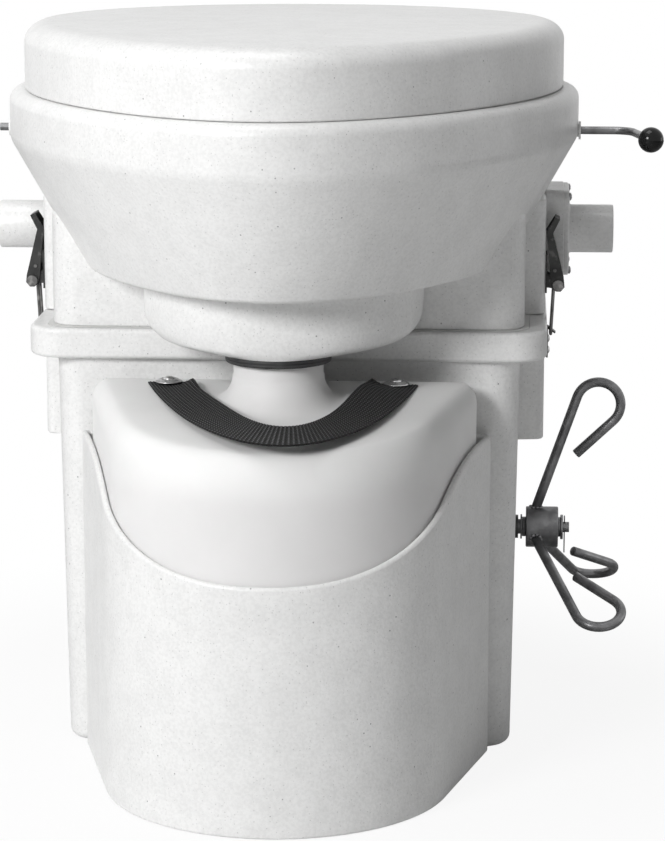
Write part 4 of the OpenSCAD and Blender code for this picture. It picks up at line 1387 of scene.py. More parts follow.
@dataclass
class Outlet:
    """The liquid sump under the overhang and its rubber gasket."""

    half_w: float = 105
    reach: float = 116
    top: float = 373
    depth: float = 48
    wall: float = 4.5
    y: float = 120
    hole: float = 27
    gasket_r: float = 39
    gasket_t: float = 6
    back: float = 46.3
    rear: float = 20
    bluntness: float = 0.25
    spigot_h: float = 4.5
    count: int = 120

    def plan(self, inset: float, z: float) -> Ring:
        """The sump's full plan: half an ellipse ahead, a blunt back.

        Args:
            inset: how far it is set in.
            z: its height.

        Returns:
            The ring.
        """
        points = []
        for angle in turns(self.count):
            sine, cosine = math.sin(angle), math.cos(angle)
            if sine < 0:
                x = (self.half_w - inset) * cosine
                y = (self.reach - self.rear - inset) * sine
            else:
                x = (self.half_w - inset) * signed_power(cosine, self.bluntness)
                y = (self.rear - inset) * signed_power(sine, self.bluntness)
            points.append((x, y - self.back - self.rear, z))
        return points

    def row(self, full: float, inset: float, h: float) -> Ring:
        """A ring between the gasket's flat seat and the full plan.

        Args:
            full: 0 on the seat's edge, 1 on the full plan.
            inset: how far the full plan is set in.
            h: height over the sump's underside.

        Returns:
            The ring.
        """
        z = self.top - self.depth + h
        seat = circle(self.gasket_r + 1, -self.y, z, self.count)
        return [
            tuple((1 - full) * a + full * b for a, b in zip(p, q))
            for p, q in zip(seat, self.plan(inset, z))
        ]

    def sump(self) -> bpy.types.Object:
        """The sump's moulding.

        Returns:
            The piece.
        """
        outside = smooth_rows(
            [(0, 0), (0.22, 1.2), (0.7, 4.5), (0.88, 10), (0.965, 18), (0.99, 29), (1, 47.9)], 5
        )
        inside = smooth_rows(
            [(0.99, 30), (0.965, 20.5), (0.88, 14), (0.7, 9), (0.22, 5.7), (0, 4.5)], 3
        )
        low = self.top - self.depth
        rings = [circle(self.hole, -self.y, low, self.count)]
        rings += [self.row(full, 0, h) for full, h in outside]
        rings.append(self.plan(self.wall, self.top - 0.1))
        rings += [self.row(full, self.wall, h) for full, h in inside]
        rings.append(circle(self.hole, -self.y, low + self.wall, self.count))
        return Form().loft(rings, closed=True).finish("sump_shell", Edges.MOULDED)

    def gasket(self) -> bpy.types.Object:
        """The moulded gasket: a soft-edged disc with a groove, and a spigot up into the sump.

        Returns:
            The piece.
        """
        r, t = self.gasket_r, self.gasket_t
        inner, spigot_r, spigot_top = self.hole - 5, self.hole - 0.05, t + self.spigot_h
        profile = filleted(
            [
                (inner, 0, 0.6), (r, 0, 1.2), (r, t * 0.42, 0.2), (r - 0.7, t * 0.5, 0.2),
                (r, t * 0.58, 0.2), (r, t, 0.9), (spigot_r, t, 0.2), (spigot_r, spigot_top, 0.8),
                (inner, spigot_top, 0.8),
            ],
            closed=True, steps=3,
        )
        form = Form().lathe(
            profile, Axis.Z, (0, -self.y, self.top - self.depth - t), 96, closed=True
        )
        return form.finish("gasket_ring")

    def build(self) -> None:
        """Makes and places both pieces."""
        dress(self.sump(), "top", "shell", "liquid_sump")
        dress(self.gasket(), "top", "rubber", "outlet_gasket")


@dataclass
class Bowl:
    """The bowl with its liquid hollow, and the lever that swings the trap door."""

    radius: float = 96
    wall: float = 4
    out: float = 246
    bend: float = 16
    splay: float = 11.8
    reach: float = 53.15
    y: float = 38
    z: float = 472
    top: float = 508
    deck: float = 505
    lip: float = 14
    mouth: float = 32
    hollow: float = 50
    hollow_w: float = 62
    hollow_l: float = 42
    outlet: float = 120
    drain_r: float = 9
    rod_r: float = 3
    knob_r: float = 9.6
    count: int = 120

    def point(self, rim: Point, step: int, share: float, r: float, drop: float) -> Point:
        """A point of the funnel.

        Args:
            rim: the rim's point that it comes down from.
            step: that point's number.
            share: 0 at the rim, 1 at the ball's lip.
            r: the ball's radius.
            drop: how far it lies below the funnel's upper face.

        Returns:
            The point.
        """
        angle = math.tau * step / self.count
        lip = math.radians(self.lip)
        x = rim[0] * (1 - share) + r * math.cos(lip) * math.cos(angle) * share
        y = rim[1] * (1 - share) + (self.y + r * math.cos(lip) * math.sin(angle)) * share
        far = (x / self.hollow_w) ** 2 + ((y + self.outlet) / self.hollow_l) ** 2
        dip = min(1.0, 4 * share * (1 - share) * 1.35 * math.exp(-far))
        fall = self.top - self.z - r * math.sin(lip)
        return (x, y, self.top - fall * share ** 0.8 - self.hollow * dip - drop)

    def row(self, share: float, r: float, drop: float) -> Ring:
        """A ring of the funnel."""
        return [
            self.point(rim, step, share, r, drop)
            for step, rim in enumerate(EGG.ring(33, 0, self.count))
        ]

    def ball(self, r: float, angle: float) -> Ring:
        """A ring of the ball-shaped lower part, at an angle below its middle."""
        lean = math.radians(angle)
        return circle(r * math.cos(lean), self.y, self.z + r * math.sin(lean), self.count)

    def shell(self) -> bpy.types.Object:
        """The bowl's moulding.

        Returns:
            The piece.
        """
        shares, angles = steps_to(1, 22), steps_to(self.mouth - 90, 10)
        outer = self.radius + self.wall
        rings = [EGG.ring(23, self.deck + 0.05, self.count)]
        edge = filleted([(23, self.deck + 0.3, 0), (23, self.top, 1.4), (30, self.top, 0)])
        rings += [EGG.ring(inset, z, self.count) for inset, z in edge]
        rings += [self.row(share, self.radius, 0) for share in shares]
        rings += [self.ball(self.radius, a) for a in angles]
        rings += [self.ball(outer, a) for a in reversed(angles)]
        rings += [
            self.row(share, self.radius + self.wall * share, 1.5 if share == 1 else self.wall)
            for share in reversed(shares)
        ]
        rings.append(EGG.ring(32, self.deck + 0.05, self.count))
        body = Form().loft(rings, closed=True).finish("bowl_shell", Edges.MOULDED)
        drain = Form().plug(self.drain_r, 100, Axis.Z, (0, -self.outlet, self.deck - 100), 40)
        combine(body, Cut.TAKE, [drain.finish("drain")])
        return even(body, Edges.MOULDED)

    def lever(self) -> bpy.types.Object:
        """The bent rod of the trap's lever.

        Returns:
            The piece.
        """
        out, bend, splay = self.out, self.bend, math.radians(self.splay)
        length = self.reach - 2
        path = [(100.6, 0), (150, 0), (200, 0), (out, 0)]
        for step in range(1, 11):
            angle = math.pi / 2 - (math.pi / 2 - splay) * step / 10
            path.append((out + bend * math.cos(angle), -bend + bend * math.sin(angle)))
        x, y = path[-1]
        path += [
            (x + math.sin(splay) * length * k, y - math.cos(splay) * length * k)
            for k in (0.33, 0.66, 1.0)
        ]
        points = [(a, b + self.y, self.z) for a, b in path]
        return Form().tube(points, self.rod_r).finish("lever_rod", Edges.BAR)

    def knob(self) -> bpy.types.Object:
        """The ball knob with the flat at its neck.

        Returns:
            The piece.
        """
        splay, r = math.radians(self.splay), self.knob_r
        profile = [(r * math.sin(a), -r * math.cos(a)) for a in steps_to(math.pi * 0.82, 22)]
        profile += [(4.4, 8.2), (self.rod_r + 0.06, 8.2), (self.rod_r + 0.06, -6), (0, -6.4)]
        form = Form().lathe(profile, Axis.Y, (0, 0, 0), 48)
        form.turn(self.splay, "Z", (0, 0, 0))
        x = self.out + self.bend * math.cos(splay) + self.reach * math.sin(splay)
        y = -self.bend * (1 - math.sin(splay)) - self.reach * math.cos(splay)
        bmesh.ops.translate(form.bm, vec=(x, y + self.y, self.z), verts=form.bm.verts)
        return form.finish("lever_knob", Edges.BAR)

    def build(self) -> None:
        """Makes and places the pieces."""
        dress(self.shell(), "top", "liner", "bowl")
        dress(self.lever(), "trap", "dark_steel", "trap_lever")
        dress(self.knob(), "trap", "knob_black", "trap_knob")


@dataclass
class SeatAndLid:
    """The seat ring and the lid, with the arms of their hinges."""

    deck: float = 505
    seat_z: float = 511.3
    seat_t: float = 18
    lid_top: float = 557
    step: float = 12
    edge_w: float = 19
    edge_h: float = 15
    wall: float = 5
    hole_w: float = 108
    hinge: tuple[float, float] = (262, 512)
    pin_hole: float = 3.05
    knuckle: float = 6
    lug: float = 11.7
    half: float = 62
    web_w: float = 10
    plate_w: float = 32
    bracket_h: float = 42

    def knuckles(self, x0: float, length: float, edge: float) -> Form:
        """A hinge knuckle about the hinge's axis.

        Args:
            x0: its inner end.
            length: how far it runs outwards.
            edge: radius of its edges.

        Returns:
            The form.
        """
        profile = [
            (self.pin_hole, 0, 0), (self.knuckle, 0, edge), (self.knuckle, length, edge),
            (self.pin_hole, length, 0),
        ]
        rounded = filleted(profile, closed=True, steps=3)
        return Form().lathe(rounded, Axis.X, (x0, *self.hinge), 40, closed=True)

    def arms(self, x0: float, reach: float) -> bpy.types.Object:
        """Hinge knuckles on both sides, each with an arm that runs forward.

        Args:
            x0: the inner end of the right one.
            reach: length of the arm.

        Returns:
            Both sides as one piece.
        """
        y, z = self.hinge
        form = self.knuckles(x0, self.lug, 0.8)
        form.block((x0, y - reach, z - 3), (x0 + self.lug, y - 4.4, z + 3.5), 0.8, 2)
        return form.mirrored().finish("arms")

    def hole(self, inset: float, z: float, count: int) -> Ring:
        """The seat's hole, an ellipse."""
        longer = (self.hole_w * 1.34 - inset) / (self.hole_w - inset)
        return [(x, 2 + y * longer, z) for x, y, _ in circle(self.hole_w - inset, 0, z, count)]

    def seat(self) -> bpy.types.Object:
        """The seat ring: a flat underside and a crowned top that falls into the hole.

        Returns:
            The piece.
        """
        low, t, count = self.seat_z, self.seat_t, 144
        outer = filleted(
            [(30, low, 0), (21, low, 1.5), (21, low + 9, 6), (26, low + t - 2, 9),
             (36, low + t, 14), (48, low + t, 0)],
            steps=5,
        )
        outer_rings = [EGG.ring(inset, z, count) for inset, z in outer]
        inner = filleted(
            [(-26, low + t - 0.5, 0), (-12, low + t - 2, 12), (-1, low + 8, 10), (-2, low, 1.5),
             (-9, low, 0)],
            steps=6,
        )
        rings = outer_rings + [self.hole(inset, z, count) for inset, z in inner]
        body = Form().loft(rings, closed=True).finish("seat_ring", Edges.MOULDED)
        combine(body, Cut.ADD, [self.arms(self.half - 5 - self.lug - 0.3, 46)])
        return even(body, Edges.MOULDED)

    def lid(self) -> bpy.types.Object:
        """The lid: a crowned cap with a soft edge, open below.

        Returns:
            The piece.
        """
        top, low = self.lid_top, self.deck + 0.3
        inner = self.step + self.wall
        under = filleted(
            [(150, top - 6, 0), (inner, top - 6, 12), (inner, low, 0.8), (self.step, low, 1.6),
             (self.step, top - 22, 0)],
            steps=7,
        )
        rings = [EGG.ring(inset, z) for inset, z in under[:-1]]
        for angle in steps_to(math.pi / 2, 12):
            inset = self.step + self.edge_w * (1 - math.cos(angle))
            rings.append(EGG.ring(inset, top - 1.4 - self.edge_h * (1 - math.sin(angle))))
        for inset, drop in ((44, 0.95), (62, 0.6), (90, 0.3), (130, 0.08), (175, 0.0)):
            rings.append(EGG.ring(inset, top - drop))
        body = Form().loft(rings).finish("lid_shell")
        combine(body, Cut.ADD, [self.arms(self.half + 5.3, 36)])
        x, y = self.half - 6 - self.lug - 1, self.hinge[0]
        slots = Form().block((x, y - 70, low - 2), (x + self.lug + 2, y + 10, low + 16))
        combine(body, Cut.TAKE, [slots.mirrored().finish("slots")])
        return even(body)

    def brackets(self) -> bpy.types.Object:
        """The hinge brackets screwed to the band's back.

        Returns:
            The piece.
        """
        y, z = self.hinge
        web, plate, low = self.web_w / 2, self.plate_w / 2, z - self.bracket_h
        form = self.knuckles(self.half - web, self.web_w, 0.6)
        form.block((self.half - web, 252, low), (self.half + web, y - 4.4, z + 2), 0.8, 2)
        form.block((self.half - plate, 240, low), (self.half + plate, 259, z - 12), 1.5, 3)
        piece = form.mirrored().finish("hinge_brackets")
        band = Form().loft([EGG.ring(0, h) for h in (430, 530)]).finish("band")
        combine(piece, Cut.TAKE, [band])
        return even(piece)

    def build(self) -> None:
        """Makes and places the pieces."""
        dress(self.seat(), "seat_body", "seat_white", "seat")
        dress(self.lid(), "lid_body", "shell", "lid")
        dress(self.brackets(), "top", "seat_white", "seat_hinge_brackets")


@dataclass
class Vent:
    """The fan's housing with its spigot on the right, and the bare spigot on the left."""

    face: float = 196
    y: float = 95
    z: float = 388
    r: float = 19
    wall: float = 2.5
    box_w: float = 70
    box_h: float = 68
    box_r: float = 9
    inside: float = 61
    inside_r: float = 2
    body_l: float = 18.5
    pipe_l: float = 35
    left_l: float = 44
    count: int = 144

    def at(self, x: float, reach: float, angle: float) -> Point:
        """The point that far out from the vent's axis, at an angle round it."""
        return (x, self.y + reach * math.cos(angle), self.z + reach * math.sin(angle))

    def rect(self, w: float, h: float, corner: float, x: float) -> Ring:
        """An upright rectangle with round corners across the vent's axis, at even angles.

        Args:
            w: its width along y.
            h: its height.
            corner: radius of its corners.
            x: its place along the axis.

        Returns:
            The ring.
        """
        points = []
        inner = Vector((w / 2 - corner, h / 2 - corner))
        for angle in turns(self.count, 0.5):
            way = Vector((abs(math.cos(angle)), abs(math.sin(angle))))
            reach = min(w / 2 / way.x, h / 2 / way.y)
            if reach * way.x > inner.x and reach * way.y > inner.y:
                along = way.dot(inner)
                reach = along + math.sqrt(along ** 2 - inner.length_squared + corner ** 2)
            points.append(self.at(x, reach, angle))
        return points

    def round(self, radius: float, x: float) -> Ring:
        """A circle with the same even angles."""
        return [self.at(x, radius, angle) for angle in turns(self.count, 0.5)]

    def housing(self) -> bpy.types.Object:
        """The fan's box: body and cover with a parting line, and the hose spigot.

        Returns:
            The piece.
        """
        x0, x1 = self.face + 0.01, self.face + self.body_l
        x2 = x1 + self.pipe_l
        rings = [self.rect(self.inside, self.inside, self.inside_r, x0)]
        side = filleted(
            [(0, x0, 0.6), (0, x1 - 4.6, 0.3), (0.9, x1 - 4.1, 0.3), (0.6, x1 - 3.6, 0.3),
             (0.6, x1, 2.2), (14, x1, 0)],
            steps=4,
        )
        rings += [self.rect(self.box_w, self.box_h, self.box_r, x0)]
        rings += [
            self.rect(self.box_w - 2 * a, self.box_h - 2 * a, max(2.5, self.box_r - a), x)
            for a, x in side[1:-1]
        ]
        pipe = filleted(
            [(self.r + 6, x1, 0), (self.r, x1, 2.2), (self.r, x2, 1.1),
             (self.r - self.wall, x2, 0.9), (self.r - self.wall, x1 - 2.5, 0.6),
             (self.r + 4, x1 - 2.5, 0)],
            steps=4,
        )
        rings += [self.round(radius, x) for radius, x in pipe]
        rings += [
            self.rect(self.inside, self.inside, self.inside_r, x) for x in (x1 - 2.5, x0 + 0.5)
        ]
        return even(Form().loft(rings, closed=True).finish("fan_box"))

    def spigot(self) -> bpy.types.Object:
        """The left spigot: a tube with a shoulder against the pad.

        Returns:
            The piece.
        """
        inner, face, end = self.r - self.wall, self.face + 0.01, self.face + self.left_l
        profile = filleted(
            [(inner, 175.5, 0.4), (18.2, 175.5, 0.4), (18.2, face, 0), (self.r, face, 0.4),
             (self.r, end, 1.2), (inner, end, 1)],
            closed=True, steps=4,
        )
        form = Form().lathe(profile, Axis.MINUS_X, (0, self.y, self.z), 72, closed=True)
        return form.finish("left_spigot")

    def build(self) -> None:
        """Makes and places the pieces."""
        dress(self.housing(), "top", "shell", "fan_housing")
        dress(self.spigot(), "top", "shell", "vent_spigot")


# ---- stirrer crank ----------------------------------------------------------------------------


@dataclass
class Crank:
    """The crank: a hub with three bent rods welded to it, its washers and its split pin."""

    x: float = 183.81
    y: float = 96
    z: float = 143.5
    hub_r: float = 16.5
    hub_l: float = 26
    rod_r: float = 3.9
    loop: tuple[float, float] = (57, 101)
    loop_r: float = 18
    foot: tuple[float, float] = (8, 15.5)
    end: tuple[float, float] = (39.5, 60)
    turn: float = -3
    beads: int = 9
    bead_r: float = 1.75
    weld_r: float = 4.3
    bore: float = 6.05
    stud_bore: float = 4.25
    pin_r: float = 0.5
    eye_r: float = 1.9
    eye_h: float = 9.1
    pin_x: float = 5.2

    def centre(self, along: float = 0.0) -> Point:
        """A point of the crank's axis, that far out from the hub's inner end."""
        return (self.x + along, self.y, self.z)

    def rod_path(self) -> list[tuple[float, float]]:
        """The rod's middle line: a leg up, the loop over the top and the leg back.

        Returns:
            Its points, as distances out from the hub and away from the axis.
        """
        middle, foot, end = Vector(self.loop), Vector(self.foot), Vector(self.end)
        leg, back = middle - foot, middle - end
        leg_angle = math.atan2(leg.y, leg.x) + math.asin(self.loop_r / leg.length)
        leg_run = math.sqrt(leg.length_squared - self.loop_r ** 2)
        back_angle = math.atan2(back.y, back.x) - math.asin(self.loop_r / back.length)
        back_run = math.sqrt(back.length_squared - self.loop_r ** 2)

        def along(start: Vector, angle: float, run: float) -> tuple[float, float]:
            """A point on a straight leg."""
            return (start.x + run * math.cos(angle), start.y + run * math.sin(angle))

        path = [along(foot, leg_angle, leg_run * k) for k in (0, 0.25, 0.5, 0.75, 1)]
        start, stop = leg_angle + math.pi / 2, back_angle - math.pi / 2
        for step in range(1, 27):
            angle = start + (stop - start) * step / 26
            path.append(
                (middle.x + self.loop_r * math.cos(angle), middle.y + self.loop_r * math.sin(angle))
            )
        path += [along(end, back_angle, back_run * k) for k in (0.66, 0.33, 0)]
        return path

    def arms(self) -> bpy.types.Object:
        """The three rods, each with the weld at its foot.

        Returns:
            The piece.
        """
        form = Form()
        path = [(self.x + a, self.y, self.z + b) for a, b in self.rod_path()]
        foot = Vector((self.x + self.foot[0], self.y, self.z + self.foot[1] + 0.6))
        for index in range(3):
            since = len(form.bm.verts)
            form.tube(path, self.rod_r, 24)
            for k, angle in enumerate(turns(self.beads)):
                across = (math.cos(angle) * self.weld_r, math.sin(angle) * self.weld_r)
                at = foot + Vector((*across, 0.35 * math.sin(3 * angle)))
                bead = bmesh.ops.create_icosphere(
                    form.bm, subdivisions=2, radius=self.bead_r + 0.2 * math.sin(2.3 * k)
                )["verts"]
                bmesh.ops.scale(form.bm, vec=(1.0, 1.0, 0.72), verts=bead)
                bmesh.ops.translate(form.bm, vec=at, verts=bead)
            form.turn(self.turn + 120 * index, "X", self.centre(), since)
        return form.finish("crank_rods", Edges.MOULDED)

    def hub(self) -> bpy.types.Object:
        """The hub: a turned sleeve with chamfered ends.

        Returns:
            The piece.
        """
        profile = filleted(
            [(self.bore, 0, 0.4), (self.hub_r, 0, 0.9), (self.hub_r, self.hub_l, 0.9),
             (self.bore, self.hub_l, 0.4)],
            closed=True, steps=3,
        )
        form = Form().lathe(profile, Axis.X, self.centre(), 72, closed=True)
        return form.finish("hub")

    def washers(self) -> bpy.types.Object:
        """Washers on both sides of the hub.

        Returns:
            The piece.
        """
        form = Form()
        out = self.hub_l
        sizes = (
            (self.bore, 8, -3, -0.01), (self.bore, 10, -4.4, -3.1),
            (self.bore, 8, out + 0.01, out + 1.8), (self.stud_bore, 10, out + 1.9, out + 4),
        )
        for inner, outer, low, high in sizes:
            corners = [
                (inner, low, 0.15), (outer, low, 0.3), (outer, high, 0.3), (inner, high, 0.15)
            ]
            rounded = filleted(corners, closed=True, steps=2)
            form.lathe(rounded, Axis.X, self.centre(), 48, closed=True)
        return form.finish("washers")

    def split_pin(self) -> bpy.types.Object:
        """The split pin: an eye above the shaft and two legs below, slightly spread.

        Returns:
            The piece.
        """
        at = Vector(self.centre(self.hub_l + self.pin_x))
        form = Form()
        for side in (-1, 1):
            path = [
                (0, side * self.eye_r * math.sin(a), self.eye_h - self.eye_r * (1 - math.cos(a)))
                for a in steps_to(math.pi, 8)
            ]
            legs = ((0.35, 3.5), (0.35, -6), (0.8, -14), (1.1, -21))
            path += [(0, side * apart, height) for apart, height in legs]
            form.tube([tuple(at + Vector(p)) for p in path], self.pin_r, 8)
        return form.finish("split_pin", Edges.FINE)

    def build(self) -> None:
        """Makes and places the pieces."""
        dress(self.arms(), "stirrer", "dark_steel", "crank_arms")
        dress(self.hub(), "stirrer", "dark_steel", "crank_hub")
        dress(self.washers(), "stirrer", "dark_steel", "crank_washers")
        dress(self.split_pin(), "stirrer", "stainless", "crank_cotter", finish="dark_steel")


# ---- bottle -----------------------------------------------------------------------------------


@dataclass
class Bottle:
    """The blow-moulded liquid bottle with its sloping top and short neck."""

    front_in: float = 5.8
    back: float = 57
    corner: float = 14
    low: float = 60.3
    top: float = 295
    slope: float = 0.1
    edge_in: float = 13
    foot_r: float = 9
    mouth_r: float = 33
    mouth_z: float = 318.7
    outlet: float = 120
    wall: float = 2.5

    def surface(self, y: float) -> float:
        """Height of the sloping top."""
        return self.top - self.slope * (-self.back - y)

    def edge_h(self, y: float) -> float:
        """Height of the top edge's rounding."""
        return self.edge_in + self.slope * (-self.back - y)

    def ring(self, inset: float, height: Callable[[float, float], float]) -> Ring:
        """The bottle's plan, set in by a distance."""
        return POT.ring(
            self.front_in + inset, self.back + inset, max(3, self.corner - inset), height
        )

    def shoulder(self, inset: float, drop: float) -> Ring:
        """A ring of the rounded top edge."""
        return self.ring(inset, lambda x, y: self.surface(y) - drop * self.edge_h(y))

    def mouth(self, radius: float, height: float, follow: float = 0.0) -> Ring:
        """A circle about the neck.

        Args:
            radius: its radius.
            height: its height on the neck's axis.
            follow: 0 for a level circle, 1 for one that lies on the sloping top.

        Returns:
            The ring.
        """
        points = []
        for x, y, _ in self.ring(0, lambda a, b: 0):
            angle = math.atan2(y + self.outlet, x)
            at = (radius * math.cos(angle), radius * math.sin(angle) - self.outlet)
            z = height * (1 - follow) + (self.surface(at[1]) + height - self.top) * follow
            points.append((*at, z))
        return points

    def shell(self) -> bpy.types.Object:
        """The bottle's moulding.

        Returns:
            The piece.
        """
        top, low, lip, r = self.top, self.low, self.mouth_z, self.mouth_r
        foot = filleted([(30, low, 0), (0, low, self.foot_r), (0, low + 30, 0)], steps=6)
        rings = [self.ring(inset, lambda x, y, z=z: z) for inset, z in foot]
        rings += [self.shoulder(0, drop) for drop in (5, 3.4, 2.2, 1.4)]
        for angle in steps_to(math.pi / 2, 10):
            rings.append(self.shoulder(self.edge_in * (1 - math.cos(angle)), 1 - math.sin(angle)))
        rings.append(self.shoulder(self.edge_in + 4, -0.02))
        neck = (
            (58, top - 0.3, 1.0), (51, top, 1.0), (46, top + 0.5, 0.9), (41.5, top + 1.8, 0.7),
            (38, top + 4, 0.45), (35.6, top + 6.8, 0.25), (34.2, top + 9.5, 0.1),
            (r + 0.8, top + 11.5), (r + 0.8, top + 13.4), (r, top + 14.2), (r, lip - 0.8),
            (r - 0.6, lip), (r - 2, lip), (r - 2.5, lip - 0.6), (r - 2.5, top + 6),
            (45, top - 5, 1.0),
        )
        rings += [self.mouth(*row) for row in neck]
        rings += [
            self.ring(18, lambda x, y: top - 26),
            self.ring(self.wall, lambda x, y: top - 54),
            self.ring(self.wall, lambda x, y: low + 9),
            self.ring(8 + self.wall, lambda x, y: low + self.wall),
        ]
        return even(Form().loft(rings).finish("bottle_shell", Edges.BROAD), Edges.BROAD)

    def build(self) -> None:
        """Makes and places the piece."""
        dress(self.shell(), "bottle_body", "bottle_plastic", "bottle")


@dataclass
class Strap:
    """The webbing handle, screwed down at both ends and looped over the bottle's shoulder."""

    half: float = 85
    lean: float = 12
    y: float = 81
    reach: float = 163
    width: float = 32
    thick: float = 1.5
    rib: float = RIB_PITCH
    cord: float = CORD_PITCH
    relief: float = 0.22
    sag: float = 5.2
    twist: float = 0.21
    curl: float = 4.2
    arch: float = 7.5
    head_r: float = 4.4
    dome: float = 1.9
    slot_l: float = 2.6
    slot_w: float = 0.45
    slots: tuple[float, float] = (25, 115)
    bottle: Bottle = field(default_factory=Bottle)

    def centre(self, u: float) -> Vector:
        """The middle line at an angle from 0 to 180 degrees."""
        s = math.sin(math.radians(u))
        return Vector(
            (
                self.lean * s * s - self.half * math.cos(math.radians(u)),
                -self.y - self.reach * s * s,
                self.bottle.surface(-self.y) + 1.4 - self.sag * s * s,
            )
        )

    def across(self, u: float) -> Vector:
        """The direction across the webbing, towards its outer edge."""
        s, c = math.sin(math.radians(u)), math.cos(math.radians(u))
        return Vector((-c, -s ** 3, -self.twist * s)).normalized()

    def face(self, u: float) -> Vector:
        """The direction out of the webbing's upper face.

        Args:
            u: the place along the webbing, from 0 to 180 degrees.

        Returns:
            The direction.
        """
        run = self.centre(min(180, u + 3)) - self.centre(max(0, u - 3))
        out = self.across(u).cross(run)
        return (out if out.z > 0 else -out).normalized()

    def lift(self, u: float, side: float) -> float:
        """How far the webbing stands up: a curl beside the screws and an arch on the right.

        Args:
            u: the place along the webbing, from 0 to 180 degrees.
            side: the place across it, from -1 at the inner edge to 1.

        Returns:
            The height over the middle line.
        """
        near = min(u, 180 - u)
        edge = max(0.0, (-side - 0.45) / 0.55)
        curl = self.curl * math.exp(-(((near - 14) / 9) ** 2)) * edge ** 1.6
        arch = self.arch * math.exp(-(((u - 147) / 15) ** 2)) * (0.55 - 0.45 * side)
        return curl + arch

    def washers(self) -> bpy.types.Object:
        """Cupped finishing washers with rolled rims.

        Returns:
            The piece.
        """
        profile = filleted(
            [(3.3, 0.2, 0.2), (5.0, 2.1, 0.5), (6.3, 2.1, 0.9), (8.6, 0.6, 1.5), (9.9, 0.3, 0.4),
             (9.9, -0.6, 0.4), (3.3, -0.6, 0.2)],
            closed=True, steps=4,
        )
        form = Form()
        for side in (-1, 1):
            form.lathe(profile, Axis.Z, self.screw_place(side), 48, closed=True)
        return form.finish("strap_cup_washers")

    def screws(self) -> bpy.types.Object:
        """Oval-headed screws with crossed slots, sunk in the washers.

        Returns:
            The piece.
        """
        form, slots = Form(), (Form(), Form())
        for side in (-1, 1):
            x, y, z = self.screw_place(side)
            profile = [(0, -0.3), (2.6, -0.3), (2.8, 0.2)]
            profile += [
                (self.head_r * math.cos(a), self.dome * (1 + math.sin(a)))
                for a in (0, 0.3, 0.6, 0.9, 1.2)
            ]
            form.lathe([*profile, (0, 2 * self.dome)], Axis.Z, (x, y, z), 40)
            for slot, turn in zip(slots, self.slots):
                since = len(slot.bm.verts)
                slot.block(
                    (x - self.slot_l, y - self.slot_w, z + 2.3),
                    (x + self.slot_l, y + self.slot_w, z + 5),
                )
                slot.turn(turn + 20 * side, "Z", (x, y, z), since)
        heads = form.finish("strap_screw_heads")
        combine(heads, Cut.TAKE, [slot.finish("slot") for slot in slots])
        return even(heads)

    def screw_place(self, side: int) -> Point:
        """The seat of a screw's washer, left (-1) or right (1)."""
        return (side * self.half, -self.y - 4, self.bottle.surface(-self.y) + 3)

    def run_table(self) -> list[tuple[float, float]]:
        """Angles along the middle line, each with the length up to it.

        Returns:
            The pairs, every quarter of a degree.
        """
        table = [(0.0, 0.0)]
        for u in (step / 4 for step in range(1, 721)):
            table.append((u, table[-1][1] + (self.centre(u) - self.centre(u - 0.25)).length))
        return table

    def places(self, steps: int) -> list[tuple[float, float]]:
        """Even steps along the webbing.

        Args:
            steps: how many.

        Returns:
            The length and the angle at each.
        """
        table = self.run_table()
        index = 0
        found = []
        for step in range(steps + 1):
            run = table[-1][1] * step / steps
            while index < len(table) - 2 and table[index + 1][1] < run:
                index += 1
            (u0, s0), (u1, s1) = table[index], table[index + 1]
            found.append((run, u0 + (u1 - u0) * (run - s0) / max(s1 - s0, 1e-9)))
        return found

    def woven(self, run: float, wide: float, side: float) -> tuple[float, float]:
        """The weave's relief.

        Args:
            run: the length up to the point.
            wide: its distance from the middle line.
            side: the same as a share of half the width.

        Returns:
            How far the point stands out of the face, and how far across it is pushed.
        """
        ribs = math.cos(math.tau * run / self.rib)
        cords = math.cos(math.tau * wide / self.cord)
        fade = min(1.0, (1 - abs(side)) * 9)
        height = 0.24 * ribs + self.relief * cords * (0.6 + 0.4 * ribs)
        push = self.relief * ribs * max(0.0, abs(side) * 20 - 19) * math.copysign(1, side)
        return height * (0.35 + 0.65 * fade), push

    def webbing(self) -> bpy.types.Object:
        """The webbing, woven on a flat grid and laid along its curve, with its threads' map.

        Returns:
            The piece.
        """
        long_steps, wide_steps = round(self.run_table()[-1][1] / self.rib) * 5, 62
        places = [
            (run, u, self.centre(u), self.across(u), self.face(u))
            for run, u in self.places(long_steps)
        ]
        bm = bmesh.new()
        weave = bm.loops.layers.uv.new("weave")
        bmesh.ops.create_grid(bm, x_segments=long_steps, y_segments=wide_steps, size=1)
        spots = {}
        for vert in bm.verts:
            side = vert.co.y
            run, u, centre, across, face = places[round((vert.co.x + 1) / 2 * long_steps)]
            wide = side * self.width / 2
            height, push = self.woven(run, wide, side)
            at = centre + across * (wide + push) + face * (height + self.lift(u, side))
            spots[vert] = (run * MM, (wide + self.width / 2) * MM)
            vert.co = at * MM
        for f in bm.faces:
            for loop in f.loops:
                loop[weave].uv = spots[loop.vert]
        bmesh.ops.recalc_face_normals(bm, faces=bm.faces)
        if sum(f.normal.z for f in bm.faces) < 0:
            bmesh.ops.reverse_faces(bm, faces=bm.faces)
        bmesh.ops.solidify(bm, geom=bm.faces[:], thickness=self.thick * MM)
        mesh = bpy.data.meshes.new("strap_webbing")
        bm.to_mesh(mesh)
        bm.free()
        mesh.shade_smooth()
        return in_scene("strap_webbing", mesh)

    def build(self) -> None:
        dress(self.washers(), "bottle_body", "stainless", "strap_washers")
        dress(self.screws(), "bottle_body", "stainless", "strap_screws")
        strap = dress(self.webbing(), "bottle_body", "webbing", "bottle_strap")
        flat = (self.width * MM, self.run_table()[-1][1] * MM)


